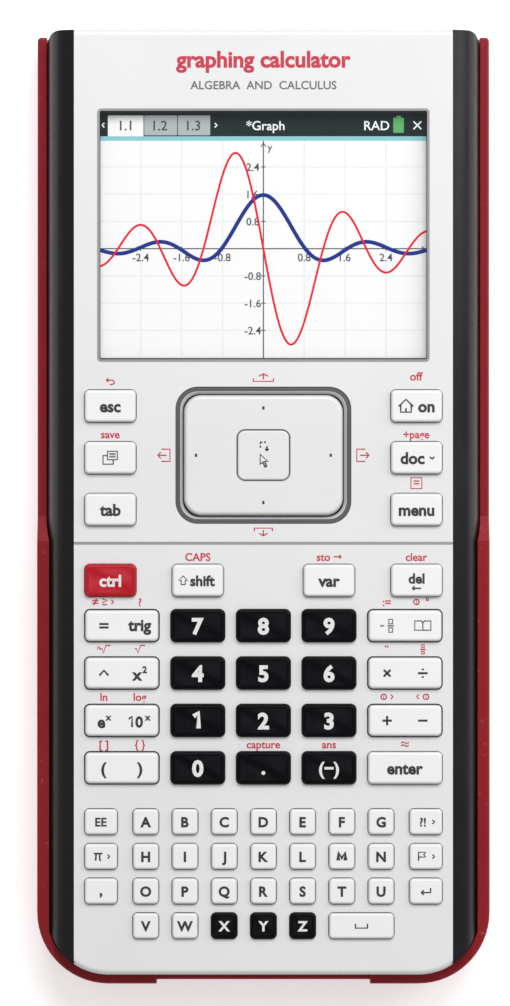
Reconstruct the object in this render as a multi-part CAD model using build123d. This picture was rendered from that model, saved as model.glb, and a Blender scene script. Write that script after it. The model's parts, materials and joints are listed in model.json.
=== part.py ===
from build123d import *

import os
from math import radians, sin

# A graphing calculator lying on its back, in millimetres.
# +X is across the keys to the right, +Y runs towards the screen end, +Z points out of the front face.
# The origin is the middle of the whole object's footprint, on the flat back of the slide cover.

# ---- Fits and clearances -------------------------------------------------------------------------
cover_clearance = 0.3  # between the handheld and the slide cover, all round
key_clearance = 0.3  # between a keycap and its hole, each side
pad_clearance = 0.7  # between the touchpad and its trim ring, each side, wide enough to tilt
trim_gap = 0.05  # hairline between neighbouring trim pieces
seat_gap = 0.1  # a loose seat, such as the display stack in its frame
flange_gap = 0.15  # between a key's flange and the faceplate's underside
running_clearance = 0.05  # radial, between a trunnion and its bearing
screw_clearance = 0.2  # radial, round a screw that passes through
thread_clearance = 0.02  # radial, where a screw bites
port_clearance = 0.3  # round a connector in its opening

# ---- Handheld ------------------------------------------------------------------------------------
case_length = 188.1
case_depth = 15.2
case_corner_radius = 12.2  # lower corners, seen from the front
case_top_corner_radius = 2.4
case_edge_radius = 3.0  # round the back
inner_corner_radius = 0.8  # smallest corner inside a shell
back_depth = 7.4  # height of the back housing's side walls
back_wall = 2.2
back_floor = 1.6
rail_width = 5.4  # black side rail, seen from the front
rail_wall = 1.8
rail_foot = 0.6  # straight part at the bottom of the rail's curve
faceplate_thickness = 1.4
faceplate_skirt = 1.5
faceplate_end_radius = 1.1
split_gap = 0.4  # groove between the two faceplates
groove_depth = 1.2  # side groove that the cover's bead runs in
groove_height = 1.8
groove_centre_height = 5.2  # above the back of the handheld

# ---- Slide cover ---------------------------------------------------------------------------------
cover_wall = 1.8
cover_floor = 1.6
cover_bead_setback = 1.0  # the bead stops this far short of the side walls' upper end
cover_top_setback = 1.0  # the side walls stop this far short of the handheld's top end
cover_low_wall = 8.0  # side wall height beside the screen, above the back of the handheld
cover_step = 3.05  # how much higher the wall is beside the keys
cover_step_length = 4.8  # length of the slanted step
cover_step_start = 5.2  # the step starts this far above the split line
cover_rim_radius = 0.6
thumb_notch_width = 42.7
thumb_notch_depth = 0.7
thumb_notch_drop = 2.2  # the rim is this much lower in the notch

# ---- Keys ----------------------------------------------------------------------------------------
key_height = 6.1
single_key_width = 9.9
number_key_width = 10.4
number_key_gap = 2.65
rocker_width = 14.5
key_margin = 2.3  # from the outermost keys to the edge of the faceplate
key_proud = 1.0
key_corner_radius = 0.9
key_edge_radius = 0.4
key_lip = 0.7
key_flange_thickness = 0.8
key_travel = 0.9
plunger_radius = 1.3
plunger_length = 0.75
press_margin = 0.4  # left between a pressed plunger and the membrane's sheet
rocker_trunnion_radius = 0.6
rocker_tilt = 5.0  # degrees to each side
rocker_plunger_length = 0.4
rocker_dome_offset = 4.4
letter_key_size = 4.8
letter_key_gap = 3.0
end_key_width = 6.2
letter_key_proud = 0.8
letter_lip = 0.5
letter_corner_radius = 0.8
letter_plunger_radius = 0.9
function_row_pitch = 10.3
function_row_drop = 0.5  # the middle function row sits this far below the touchpad's middle
split_drop = 6.7  # from the last function row to the split line
control_row_drop = 7.4  # from the split line to the control row
number_row_drop = 9.0  # from the control row to the first number row
number_row_pitch = 9.43
letter_row_pitch = 6.9
letter_bottom_margin = 9.8  # from the handheld's bottom end to the last letter row

# ---- Touchpad ------------------------------------------------------------------------------------
touchpad_width = 34.9
touchpad_height = 27.2
touchpad_corner_radius = 4.4
touchpad_drop = 5.2  # from the window to the trim ring
ring_band = 0.9
ring_lip = 1.0
ring_flange_thickness = 0.7
ring_recess = 0.2  # below the face of the handheld
pad_proud = 0.8
pad_edge_radius = 0.9
pad_corner_relief = 0.7  # the pad's corners are rounder than the ring's, so that it tilts freely
pad_thickness = 2.6
pad_leg_thickness = 1.0
pad_leg_width = 2.0
pad_leg_inset = 1.1  # from the pad's edge to the outside of a leg
centre_button_width = 10.3
centre_button_height = 9.9
centre_button_corner_radius = 1.5
centre_button_proud = 0.15  # above the pad
centre_button_travel = 0.7
centre_button_lip = 0.6
centre_button_flange = 0.6
touchpad_board_thickness = 0.8
touchpad_board_margin_x = 1.25
touchpad_board_margin_y = 2.4
carrier_bar = 1.4
carrier_thickness = 0.8
carrier_gap = 0.4  # between the carrier and what it turns in
tilt_axis_depth = 1.5  # above the circuit board
trunnion_radius = 0.4
trunnion_boss_radius = 0.8
lug_thickness = 1.0
dome_plunger_radius = 0.9
tilt_dome_inset_x = 3.0  # from the board's edge to a tilt dome's middle
tilt_dome_inset_y = 2.0
collapsed_dome_height = 0.35
touch_dome_radius = 1.5

# ---- Display -------------------------------------------------------------------------------------
window_width = 65.7
window_height = 50.0
window_top_margin = 15.9
window_corner_radius = 0.6
window_recess = 0.25
window_lip = 2.0
window_lip_thickness = 0.8
window_clearance = 0.1
lcd_width = 70.0
lcd_height = 55.0
lcd_thickness = 1.2
backlight_thickness = 0.8
flex_width = 20.0
flex_thickness = 0.2
flex_reach = 2.2
flex_bend_radius = 0.45
flex_tail = 3.0
flex_x = -19.0
flex_slot_gap = 0.5

# ---- Inside --------------------------------------------------------------------------------------
frame_gap = 0.3  # from a key's flange to the frame
frame_strip = 1.2  # bar between the keypad and the display pocket
frame_foot_height = 1.5
frame_bar = 5.1  # crossbar under the split line
pcb_thickness = 1.2
pcb_edge_gap = 1.1  # to the inside of the side rails
membrane_thickness = 0.6
membrane_gap = 0.1
dome_base_radius = 2.2
dome_tip_radius = 1.3
letter_dome_base_radius = 1.7
letter_dome_tip_radius = 0.9
dome_gap = 0.05  # between a dome's tip and the plunger over it
battery_width = 58.0
battery_height = 42.0
battery_thickness = 5.2
battery_edge_radius = 1.5
battery_gap = 0.3
battery_drop = 64.0  # from the handheld's top end to the battery's middle
bay_wall = 1.2
bay_plate = 0.8
door_lip = 1.7
door_gap = 0.15
door_screw_strip = 8.0
door_corner_radius = 2.0
shield_width = 44.0
shield_height = 34.0
shield_depth = 1.7
shield_wall = 0.3
shield_drop = 33.0  # from the split line to the shield's middle
contact_block_width = 9.0
contact_block_height = 5.0
contact_finger_length = 0.5  # from the block to the battery
contact_block_inset = 8.0
contact_finger_radius = 0.4
contact_finger_pitch = 2.5
boss_radius = 2.4
screw_shank_radius = 1.0
screw_head_radius = 1.8
screw_head_height = 1.3
screw_head_recess = 0.8
screw_bite = 3.0  # length of thread in the frame
door_screw_length = 3.6
door_screw_head_height = 0.8
door_screw_head_recess = 0.1
screw_x = 33.0
lower_screw_x = 24.0
upper_screw_margin = 7.6
lower_screw_margin = 4.0
door_screw_x = 24.0
usb_width = 7.7
usb_height = 4.0
usb_depth = 9.2
usb_wall = 0.4
usb_setback = 0.5
usb_tongue_thickness = 0.9
usb_sink = 0.3  # its middle sits this far below the board's upper face
dock_width = 24.0
dock_height = 3.2
dock_depth = 7.0
dock_setback = 0.4
dock_centre_height = 5.1  # above the back of the handheld
dock_shoulder = 1.0
dock_mouth_margin = 1.2
dock_mouth_depth = 1.6

# ---- Heights -------------------------------------------------------------------------------------
z_back = cover_floor + cover_clearance
z_front = z_back + case_depth
z_seam = z_back + back_depth
z_floor = z_back + back_floor
z_under = z_front - faceplate_thickness
z_flange_top = z_under - flange_gap
z_flange_bottom = z_flange_top - key_flange_thickness
z_plunger = z_flange_bottom - plunger_length
z_membrane_top = z_plunger - key_travel - press_margin
z_rocker_axis = z_under - running_clearance - rocker_trunnion_radius
z_pcb_top = z_membrane_top - membrane_thickness
z_pcb_bottom = z_pcb_top - pcb_thickness
z_window_lip = z_under - window_lip_thickness
z_lcd_top = z_window_lip - seat_gap
z_lcd_bottom = z_lcd_top - lcd_thickness
z_backlight_bottom = z_lcd_bottom - backlight_thickness
z_groove = z_back + groove_centre_height
z_ring_flange = z_under - ring_flange_thickness
z_pad_top = z_front + pad_proud
z_pad_bottom = z_pad_top - pad_thickness
z_touch_board = z_pad_bottom - touchpad_board_thickness
z_tilt = z_pcb_top + tilt_axis_depth
z_touch_dome = z_pcb_top + centre_button_travel + collapsed_dome_height
z_usb = z_pcb_top - usb_sink
z_dock = z_back + dock_centre_height
z_low_wall = z_back + cover_low_wall
z_high_wall = z_low_wall + cover_step

# ---- Widths, from the keys outwards --------------------------------------------------------------
number_pitch = number_key_width + number_key_gap
key_field_half = 1.5 * number_key_width + 2 * number_key_gap + rocker_width
faceplate_half = key_field_half + key_margin
case_half = faceplate_half + rail_width
rocker_rise = (rocker_width / 2 + key_lip) * sin(radians(rocker_tilt))
z_rocker_flange = z_flange_top - rocker_rise
z_rocker_under = z_rocker_flange - key_flange_thickness
z_rocker_plunger = z_rocker_under - rocker_plunger_length
letter_pitch = letter_key_size + letter_key_gap
space_key_width = letter_pitch + letter_key_size

# ---- The side rails' curve: an arc that leaves the foot upright and meets the faceplate's edge ----
rail_rise = z_front - z_seam - rail_foot
rail_radius = (rail_width**2 + rail_rise**2) / (2 * rail_width)
rail_centre_x = case_half - rail_radius
rail_centre_z = z_seam + rail_foot


def rail_inside(z):
    """Half the width between the insides of the two rails at a height."""
    return rail_centre_x + ((rail_radius - rail_wall) ** 2 - (z - rail_centre_z) ** 2) ** 0.5


frame_foot_half = rail_inside(z_pcb_top + frame_foot_height) - seat_gap
pcb_shrink = case_half - rail_inside(z_pcb_top) + pcb_edge_gap

# ---- Places along the length ---------------------------------------------------------------------
cover_grow = cover_clearance + cover_wall
y_top = (case_length + cover_grow) / 2
y_bottom = y_top - case_length
y_window = y_top - window_top_margin - window_height / 2
y_touchpad = y_window - window_height / 2 - touchpad_drop - touchpad_height / 2
function_rows = [y_touchpad - function_row_drop + step * function_row_pitch for step in (1, 0, -1)]
y_split = function_rows[2] - split_drop
y_control = y_split - control_row_drop
number_rows = [y_control - number_row_drop - row * number_row_pitch for row in range(4)]
letter_rows = [y_bottom + letter_bottom_margin + row * letter_row_pitch for row in (3, 2, 1, 0)]
y_bar = (function_rows[2] + y_control) / 2
y_battery = y_top - battery_drop
y_shield = y_split - shield_drop
y_cover_top = y_top - cover_top_setback
y_step = y_split + cover_step_start

# ---- Places across the width ---------------------------------------------------------------------
x_single = key_field_half - single_key_width / 2
x_rocker = key_field_half - rocker_width / 2
x_end = key_field_half - end_key_width / 2
x_space = 2.5 * letter_pitch
letter_columns = [step * letter_pitch for step in range(-3, 4)]

# ---- The touchpad's nested sizes -----------------------------------------------------------------
ring_inner_width = touchpad_width - 2 * ring_band
ring_inner_height = touchpad_height - 2 * ring_band
ring_inner_radius = touchpad_corner_radius - ring_band
pad_width = ring_inner_width - 2 * pad_clearance
pad_height = ring_inner_height - 2 * pad_clearance
pad_radius = ring_inner_radius - pad_clearance + pad_corner_relief
button_hole_width = centre_button_width + 2 * key_clearance
button_hole_height = centre_button_height + 2 * key_clearance
board_half_width = pad_width / 2 - touchpad_board_margin_x
board_half_height = pad_height / 2 - touchpad_board_margin_y
tilt_dome_x = board_half_width - tilt_dome_inset_x
tilt_dome_y = board_half_height - tilt_dome_inset_y
leg_outside = pad_height / 2 - pad_leg_inset
carrier_inside_y = leg_outside + carrier_gap
carrier_outside_y = carrier_inside_y + carrier_bar
lug_inside = touchpad_width / 2 + ring_lip - frame_gap - lug_thickness
carrier_outside_x = lug_inside - carrier_gap
carrier_inside_x = carrier_outside_x - carrier_bar

# ---- Screws and the battery door -----------------------------------------------------------------
case_screw_places = [
    (side * x, y)
    for x, y in (
        (screw_x, y_top - upper_screw_margin),
        (screw_x, y_bar),
        (lower_screw_x, y_bottom + lower_screw_margin),
    )
    for side in (-1, 1)
]
bay_half_width = battery_width / 2 + battery_gap
bay_half_height = battery_height / 2 + battery_gap
door_half_width = bay_half_width + door_lip
door_low = y_battery - bay_half_height - door_lip
door_high = y_battery + bay_half_height + door_lip + door_screw_strip
door_screw_y = door_high - door_screw_strip / 2
door_screw_places = [(side * door_screw_x, door_screw_y) for side in (-1, 1)]

# ---- Every key: the middle and the width ---------------------------------------------------------
pressed_keys = {
    "esc_key": (-x_single, function_rows[0], single_key_width),
    "scratchpad_key": (-x_single, function_rows[1], single_key_width),
    "tab_key": (-x_single, function_rows[2], single_key_width),
    "home_key": (x_single, function_rows[0], single_key_width),
    "document_key": (x_single, function_rows[1], single_key_width),
    "menu_key": (x_single, function_rows[2], single_key_width),
    "control_key": (-x_single, y_control, single_key_width),
    "shift_key": (-number_pitch, y_control, single_key_width),
    "variable_key": (number_pitch, y_control, single_key_width),
    "delete_key": (x_single, y_control, single_key_width),
    "enter_key": (x_rocker, number_rows[3], rocker_width),
}
number_names = [
    ["number_key_7", "number_key_8", "number_key_9"],
    ["number_key_4", "number_key_5", "number_key_6"],
    ["number_key_1", "number_key_2", "number_key_3"],
    ["number_key_0", "point_key", "negate_key"],
]
for row, names in enumerate(number_names):
    for column, name in enumerate(names):
        pressed_keys[name] = ((column - 1) * number_pitch, number_rows[row], number_key_width)
rocker_keys = {
    "trig_rocker": (-x_rocker, number_rows[0]),
    "power_rocker": (-x_rocker, number_rows[1]),
    "exponential_rocker": (-x_rocker, number_rows[2]),
    "bracket_rocker": (-x_rocker, number_rows[3]),
    "template_rocker": (x_rocker, number_rows[0]),
    "multiply_rocker": (x_rocker, number_rows[1]),
    "add_rocker": (x_rocker, number_rows[2]),
}
full_letter_row = [(-x_end, end_key_width)]
full_letter_row += [(x, letter_key_size) for x in letter_columns]
full_letter_row += [(x_end, end_key_width)]
last_letter_row = [(x, letter_key_size) for x in letter_columns[:5]]
last_letter_row += [(x_space, space_key_width)]
letter_key_rows = {
    "letter_keys_row_1": (letter_rows[0], full_letter_row),
    "letter_keys_row_2": (letter_rows[1], full_letter_row),
    "letter_keys_row_3": (letter_rows[2], full_letter_row),
    "letter_keys_row_4": (letter_rows[3], last_letter_row),
}


# ---- Shared shapes -------------------------------------------------------------------------------
def block(x0, x1, y0, y1, z0, z1):
    """A box between two corners."""
    middle = ((x0 + x1) / 2, (y0 + y1) / 2, (z0 + z1) / 2)
    return Pos(*middle) * Box(x1 - x0, y1 - y0, z1 - z0)


def plate(x, y, width, height, radius, z0, z1):
    """A plate with rounded upright corners round a middle point."""
    return extrude(Pos(x, y, z0) * RectangleRounded(width, height, radius), z1 - z0)


def post(x, y, radius, z0, z1):
    """An upright cylinder."""
    return Pos(x, y, (z0 + z1) / 2) * Cylinder(radius, z1 - z0)


def dome(x, y, base_radius, tip_radius, z0, z1):
    """An upright tapered dome."""
    return Pos(x, y, (z0 + z1) / 2) * Cone(base_radius, tip_radius, z1 - z0)


def pin_along_x(x0, x1, y, z, radius):
    """A cylinder along X."""
    return Pos((x0 + x1) / 2, y, z) * Rot(0, 90, 0) * Cylinder(radius, x1 - x0)


def pin_along_y(x, y0, y1, z, radius):
    """A cylinder along Y."""
    return Pos(x, (y0 + y1) / 2, z) * Rot(90, 0, 0) * Cylinder(radius, y1 - y0)


def outline(grow, end, end_radius):
    """The handheld seen from the front, grown on three sides, up to a chosen upper end."""
    low = y_bottom - grow
    shape = Pos(0, (end + low) / 2) * Rectangle(2 * (case_half + grow), end - low)
    low_radius = max(case_corner_radius + grow, inner_corner_radius)
    shape = fillet(shape.vertices().sort_by(Axis.Y)[:2], low_radius)
    return fillet(shape.vertices().sort_by(Axis.Y)[-2:], end_radius)


def case_body(grow, z0, z1):
    """The handheld's outline, grown or shrunk, raised between two heights."""
    end_radius = max(case_top_corner_radius + grow, inner_corner_radius)
    return extrude(Pos(0, 0, z0) * outline(grow, y_top + grow, end_radius), z1 - z0)


def between_rails(half_width, grow, z0, z1):
    """The part of the handheld's body between two upright planes along its sides."""
    return case_body(grow, z0, z1) & block(-half_width, half_width, -case_length, case_length, z0, z1)


def outside_curve(side, grow):
    """What lies outside one side rail's curve, grown or shrunk, above the rail's foot."""
    far = 2 * case_half
    high = z_front + case_depth
    middle = (side * (rail_centre_x + far) / 2, (rail_centre_z + high) / 2)
    section = Pos(*middle) * Rectangle(far - rail_centre_x, high - rail_centre_z)
    section -= Pos(side * rail_centre_x, rail_centre_z) * Circle(rail_radius + grow)
    return extrude(Plane.XZ * section, case_length, both=True)


def keycap(x, y, width, height, corner_radius, lip, proud, flange_top):
    """A keycap with the flange that keeps it under the faceplate, without its plunger."""
    z_cap = z_front + proud
    flange_bottom = flange_top - key_flange_thickness
    cap = plate(x, y, width, height, corner_radius, flange_bottom, z_cap)
    cap = round_top(cap, key_edge_radius)
    flange_width = width + 2 * lip
    flange_height = height + 2 * lip
    return cap + plate(x, y, flange_width, flange_height, corner_radius, flange_bottom, flange_top)


def round_top(solid, radius):
    """Rounds the edges of the highest face."""
    return fillet(solid.faces().sort_by(Axis.Z)[-1].edges(), radius)


def pressed_key(x, y, width):
    """A key that is pushed straight down, with one plunger."""
    cap = keycap(x, y, width, key_height, key_corner_radius, key_lip, key_proud, z_flange_top)
    return cap + post(x, y, plunger_radius, z_plunger, z_flange_bottom)


def letter_key(x, y, width):
    """A small key of the alphabet rows."""
    cap = keycap(
        x, y, width, letter_key_size, letter_corner_radius, letter_lip, letter_key_proud, z_flange_top
    )
    return cap + post(x, y, letter_plunger_radius, z_plunger, z_flange_bottom)


def rocker_key(x, y):
    """A double key that rocks on two trunnions, with a plunger under each half."""
    cap = keycap(x, y, rocker_width, key_height, key_corner_radius, key_lip, key_proud, z_rocker_flange)
    half = key_height / 2
    trunnion_foot = rocker_trunnion_radius
    for y0, y1 in ((y - half - key_lip, y - half), (y + half, y + half + key_lip)):
        cap += pin_along_y(x, y0, y1, z_rocker_axis, rocker_trunnion_radius)
        cap += block(x - trunnion_foot, x + trunnion_foot, y0, y1, z_rocker_under, z_rocker_axis)
    for offset in (-rocker_dome_offset, rocker_dome_offset):
        cap += post(x + offset, y, plunger_radius, z_rocker_plunger, z_rocker_under)
    return cap


# ---- Shells --------------------------------------------------------------------------------------
def make_slide_cover():
    """The slide cover: a shallow tray, open at the screen end, with beads that run in the grooves."""
    shell = extrude(outline(cover_grow, y_cover_top, inner_corner_radius), z_high_wall)
    base_edges = shell.faces().sort_by(Axis.Z)[0].edges().sort_by(Axis.Y)[:-3]
    shell = fillet(base_edges, case_edge_radius + cover_clearance + cover_floor)
    past_end = y_cover_top + cover_grow
    hollow = outline(cover_clearance, past_end, inner_corner_radius)
    lower = extrude(Pos(0, 0, cover_floor) * hollow, rail_centre_z - cover_floor)
    lower_edges = lower.faces().sort_by(Axis.Z)[0].edges().sort_by(Axis.Y)[:-3]
    shell -= fillet(lower_edges, case_edge_radius + cover_clearance)
    upper = extrude(Pos(0, 0, rail_centre_z) * hollow, z_front - rail_centre_z)
    shell -= upper - outside_curve(-1, cover_clearance) - outside_curve(1, cover_clearance)
    lowered = Polyline(
        (y_step - cover_step_length, z_high_wall),
        (y_step, z_low_wall),
        (past_end, z_low_wall),
        (past_end, z_front),
        (y_step - cover_step_length, z_front),
        close=True,
    )
    shell -= extrude(Plane.YZ * make_face(lowered), 2 * case_half, both=True)
    notch_half = thumb_notch_width / 2
    y_rim = y_bottom - cover_grow
    shell -= block(-notch_half, notch_half, y_rim - 1, y_rim + thumb_notch_depth, -1, z_front)
    z_notch = z_high_wall - thumb_notch_drop
    shell -= block(-notch_half, notch_half, y_rim - 1, y_bottom, z_notch, z_front)
    shell = fillet(outer_rim(shell), cover_rim_radius)
    bead_tip = case_half - groove_depth + cover_clearance
    bead_root = case_half + cover_clearance + cover_wall / 2
    bead_half = groove_height / 2 - cover_clearance
    bead_low = y_bottom + case_corner_radius
    bead_high = y_cover_top - cover_bead_setback
    for x0, x1 in ((-bead_root, -bead_tip), (bead_tip, bead_root)):
        shell += block(x0, x1, bead_low, bead_high, z_groove - bead_half, z_groove + bead_half)
    return shell


def outer_rim(shell):
    """The outer edges of the slide cover's upper rim."""
    x_inside = case_half + cover_clearance + cover_wall / 3
    y_inside = y_bottom - cover_clearance - cover_wall / 3
    upward = [face for face in shell.faces() if face.normal_at().Z > 0 and face.center().Z > z_seam]
    edges = [edge for face in upward for edge in face.edges()]
    return [edge for edge in edges if abs(edge.center().X) > x_inside or edge.center().Y < y_inside]


def make_back_housing():
    """The back shell, with the battery bay, the screw posts and the grooves for the cover."""
    shell = case_body(0, z_back, z_seam)
    shell = fillet(shell.faces().sort_by(Axis.Z)[0].edges(), case_edge_radius)
    shell -= case_body(-back_wall, z_floor, z_seam)
    door_y = (door_low + door_high) / 2
    door_height = door_high - door_low
    plate_width = 2 * door_half_width + 2 * bay_wall
    plate_height = door_height + 2 * bay_wall
    shell += plate(0, door_y, plate_width, plate_height, door_corner_radius, z_floor, z_floor + bay_plate)
    wall_half_width = bay_half_width + bay_wall
    wall_half_height = bay_half_height + bay_wall
    shell += block(
        -wall_half_width,
        wall_half_width,
        y_battery - wall_half_height,
        y_battery + wall_half_height,
        z_floor,
        z_seam,
    )
    for x, y in door_screw_places:
        shell += post(x, y, boss_radius, z_floor, z_floor + bay_plate + door_screw_length)
    for x, y in case_screw_places:
        shell += post(x, y, boss_radius, z_floor, z_pcb_bottom)
    shell -= block(
        -bay_half_width,
        bay_half_width,
        y_battery - bay_half_height,
        y_battery + bay_half_height,
        z_back,
        z_seam,
    )
    opening_width = 2 * (door_half_width + door_gap)
    opening_height = door_height + 2 * door_gap
    opening_radius = door_corner_radius + door_gap
    shell -= plate(0, door_y, opening_width, opening_height, opening_radius, z_back, z_floor)
    z_head = z_back + screw_head_recess + screw_head_height
    for x, y in case_screw_places:
        shell -= post(x, y, screw_head_radius + screw_clearance, z_back, z_head)
        shell -= post(x, y, screw_shank_radius + screw_clearance, z_head, z_pcb_bottom)
    z_door_screw_end = z_back + door_screw_head_recess + door_screw_head_height + door_screw_length
    for x, y in door_screw_places:
        shell -= post(x, y, screw_shank_radius + thread_clearance, z_floor, z_door_screw_end + seat_gap)
    for x0, x1 in ((-2 * case_half, groove_depth - case_half), (case_half - groove_depth, 2 * case_half)):
        half = groove_height / 2
        shell -= block(x0, x1, y_bottom - 1, y_top + 1, z_groove - half, z_groove + half)
    mouth_half = dock_width / 2 + port_clearance
    mouth_rise = dock_height / 2 + port_clearance
    shell -= block(
        -mouth_half,
        mouth_half,
        y_bottom - 1,
        y_bottom + back_wall,
        z_dock - mouth_rise,
        z_dock + mouth_rise,
    )
    return shell


def make_battery_door():
    """The screwed door under the battery, flush with the back."""
    height = door_high - door_low
    middle = (door_low + door_high) / 2
    door = plate(0, middle, 2 * door_half_width, height, door_corner_radius, z_back, z_floor)
    z_head = z_back + door_screw_head_recess + door_screw_head_height
    for x, y in door_screw_places:
        door -= post(x, y, screw_head_radius + screw_clearance, z_back, z_head)
        door -= post(x, y, screw_shank_radius + screw_clearance, z_head, z_floor)
    return door


def make_side_rail(side):
    """One curved side rail, a shell closed at both ends."""
    solid = case_body(0, z_seam, z_front) - outside_curve(side, 0)
    solid -= case_body(-rail_wall, z_seam, z_under) - outside_curve(side, -rail_wall)
    near = faceplate_half + trim_gap
    low, high = sorted((side * near, side * 2 * case_half))
    return solid & block(low, high, -case_length, case_length, z_seam, z_front)


def make_faceplates():
    """The upper and lower faceplates, cut from one blank at the split line."""
    blank = between_rails(faceplate_half, 0, z_seam, z_front)
    top_edges = blank.faces().sort_by(Axis.Z)[-1].edges()
    end_edges = [edge for edge in top_edges if abs(edge.tangent_at(0.5).Y) < 0.9]
    blank = fillet(end_edges, faceplate_end_radius)
    blank -= case_body(-faceplate_skirt, z_seam, z_under)
    for x, y, width in pressed_keys.values():
        blank -= key_hole(x, y, width, key_height, key_corner_radius)
    for x, y in rocker_keys.values():
        blank -= key_hole(x, y, rocker_width, key_height, key_corner_radius)
    for y, keys in letter_key_rows.values():
        for x, width in keys:
            blank -= key_hole(x, y, width, letter_key_size, letter_corner_radius)
    blank -= plate(0, y_window, window_width, window_height, window_corner_radius, z_under, z_front)
    ring_width = touchpad_width + 2 * trim_gap
    ring_height = touchpad_height + 2 * trim_gap
    ring_radius = touchpad_corner_radius + trim_gap
    blank -= plate(0, y_touchpad, ring_width, ring_height, ring_radius, z_under, z_front)
    port_half = usb_width / 2 + port_clearance
    port_rise = usb_height / 2 + port_clearance
    port_end = y_top + 1
    port_low = y_top - 2 * faceplate_skirt
    blank -= block(-port_half, port_half, port_low, port_end, z_usb - port_rise, z_usb + port_rise)
    half_gap = split_gap / 2
    upper = blank & block(-case_half, case_half, y_split + half_gap, y_top, z_seam, z_front)
    lower = blank & block(-case_half, case_half, y_bottom, y_split - half_gap, z_seam, z_front)
    return upper, lower


def key_hole(x, y, width, height, corner_radius):
    """The hole in the faceplate round one key."""
    hole_width = width + 2 * key_clearance
    hole_height = height + 2 * key_clearance
    return plate(x, y, hole_width, hole_height, corner_radius + key_clearance, z_under, z_front)


# ---- Inner frame, boards and membrane ------------------------------------------------------------
def make_inner_frame():
    """The frame that carries the faceplates, the rails and the display, and holds the screws."""
    shrink = -(max(faceplate_skirt, rail_wall) + seat_gap)
    frame = between_rails(faceplate_half, shrink, z_pcb_top, z_under)
    frame += between_rails(frame_foot_half, shrink, z_pcb_top, z_pcb_top + frame_foot_height)
    keypad_half = key_field_half + key_lip + frame_gap
    keypad_low = letter_rows[3] - letter_key_size / 2 - letter_lip - frame_gap
    pocket_half_height = lcd_height / 2 + seat_gap
    keypad_high = y_window - pocket_half_height - frame_strip
    bar_low = y_bar - frame_bar / 2
    bar_high = y_bar + frame_bar / 2
    frame -= block(-keypad_half, keypad_half, keypad_low, bar_low, z_pcb_top, z_under)
    frame -= block(-keypad_half, keypad_half, bar_high, keypad_high, z_pcb_top, z_under)
    frame -= block(-keypad_half, keypad_half, bar_low, bar_high, z_pcb_top, z_membrane_top + membrane_gap)
    pocket_half_width = lcd_width / 2 + seat_gap
    pocket_high = y_window + pocket_half_height
    frame -= block(
        -pocket_half_width,
        pocket_half_width,
        y_window - pocket_half_height,
        pocket_high,
        z_backlight_bottom,
        z_under,
    )
    slot_half = flex_width / 2 + flex_slot_gap
    slot_high = pocket_high + flex_reach + flex_tail + flex_slot_gap
    frame -= block(flex_x - slot_half, flex_x + slot_half, pocket_high - 1, slot_high, z_pcb_top, z_under)
    port_half = usb_width / 2 + port_clearance
    port_low = y_top - usb_setback - usb_depth - port_clearance
    port_high = z_usb + usb_height / 2 + port_clearance
    frame -= block(-port_half, port_half, port_low, y_top, z_pcb_top, port_high)
    for x, y in case_screw_places:
        frame += post(x, y, boss_radius, z_pcb_top, z_under)
    z_thread_end = z_pcb_top + screw_bite + seat_gap
    for x, y in case_screw_places:
        frame -= post(x, y, screw_shank_radius + thread_clearance, z_pcb_top, z_thread_end)
    return frame


def make_circuit_board():
    """The main circuit board."""
    board = case_body(-pcb_shrink, z_pcb_bottom, z_pcb_top)
    for x, y in case_screw_places:
        board -= post(x, y, screw_shank_radius + screw_clearance, z_pcb_bottom, z_pcb_top)
    port_half = usb_width / 2 + port_clearance
    port_low = y_top - usb_setback - usb_depth - port_clearance
    board -= block(-port_half, port_half, port_low, y_top, z_pcb_bottom, z_pcb_top)
    return board


def make_membrane():
    """The silicone sheet with a dome under every plunger, and the touchpad's own loose domes."""
    half = key_field_half + key_lip
    low = letter_rows[3] - letter_key_size / 2 - letter_lip
    high = function_rows[0] + key_height / 2 + key_lip
    sheet = block(-half, half, low, high, z_pcb_top, z_membrane_top)
    opening_width = touchpad_width + 2 * ring_lip + 2 * frame_gap
    opening_height = touchpad_height + 2 * ring_lip + 2 * frame_gap
    opening_radius = touchpad_corner_radius
    sheet -= plate(0, y_touchpad, opening_width, opening_height, opening_radius, z_pcb_top, z_membrane_top)
    for x, y in case_screw_places[2:4]:
        sheet -= post(x, y, boss_radius + frame_gap, z_pcb_top, z_membrane_top)
    z_tip = z_plunger - dome_gap
    z_rocker_tip = z_rocker_plunger - dome_gap
    for x, y, _ in pressed_keys.values():
        sheet += dome(x, y, dome_base_radius, dome_tip_radius, z_membrane_top, z_tip)
    for x, y in rocker_keys.values():
        for offset in (-rocker_dome_offset, rocker_dome_offset):
            sheet += dome(x + offset, y, dome_base_radius, dome_tip_radius, z_membrane_top, z_rocker_tip)
    for y, keys in letter_key_rows.values():
        for x, _ in keys:
            sheet += dome(x, y, letter_dome_base_radius, letter_dome_tip_radius, z_membrane_top, z_tip)
    pieces = [sheet]
    for x, y in touch_dome_places():
        pieces.append(dome(x, y, touch_dome_radius, dome_plunger_radius, z_pcb_top, z_touch_dome))
    return group(pieces)


def touch_dome_places():
    """The five domes under the touchpad: the middle, the two sides and the two ends."""
    return [
        (0, y_touchpad),
        (-tilt_dome_x, y_touchpad),
        (tilt_dome_x, y_touchpad),
        (0, y_touchpad - tilt_dome_y),
        (0, y_touchpad + tilt_dome_y),
    ]


def group(solids):
    """Several separate solids as one node."""
    return Compound(children=[piece for solid in solids for piece in solid.solids()])


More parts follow.
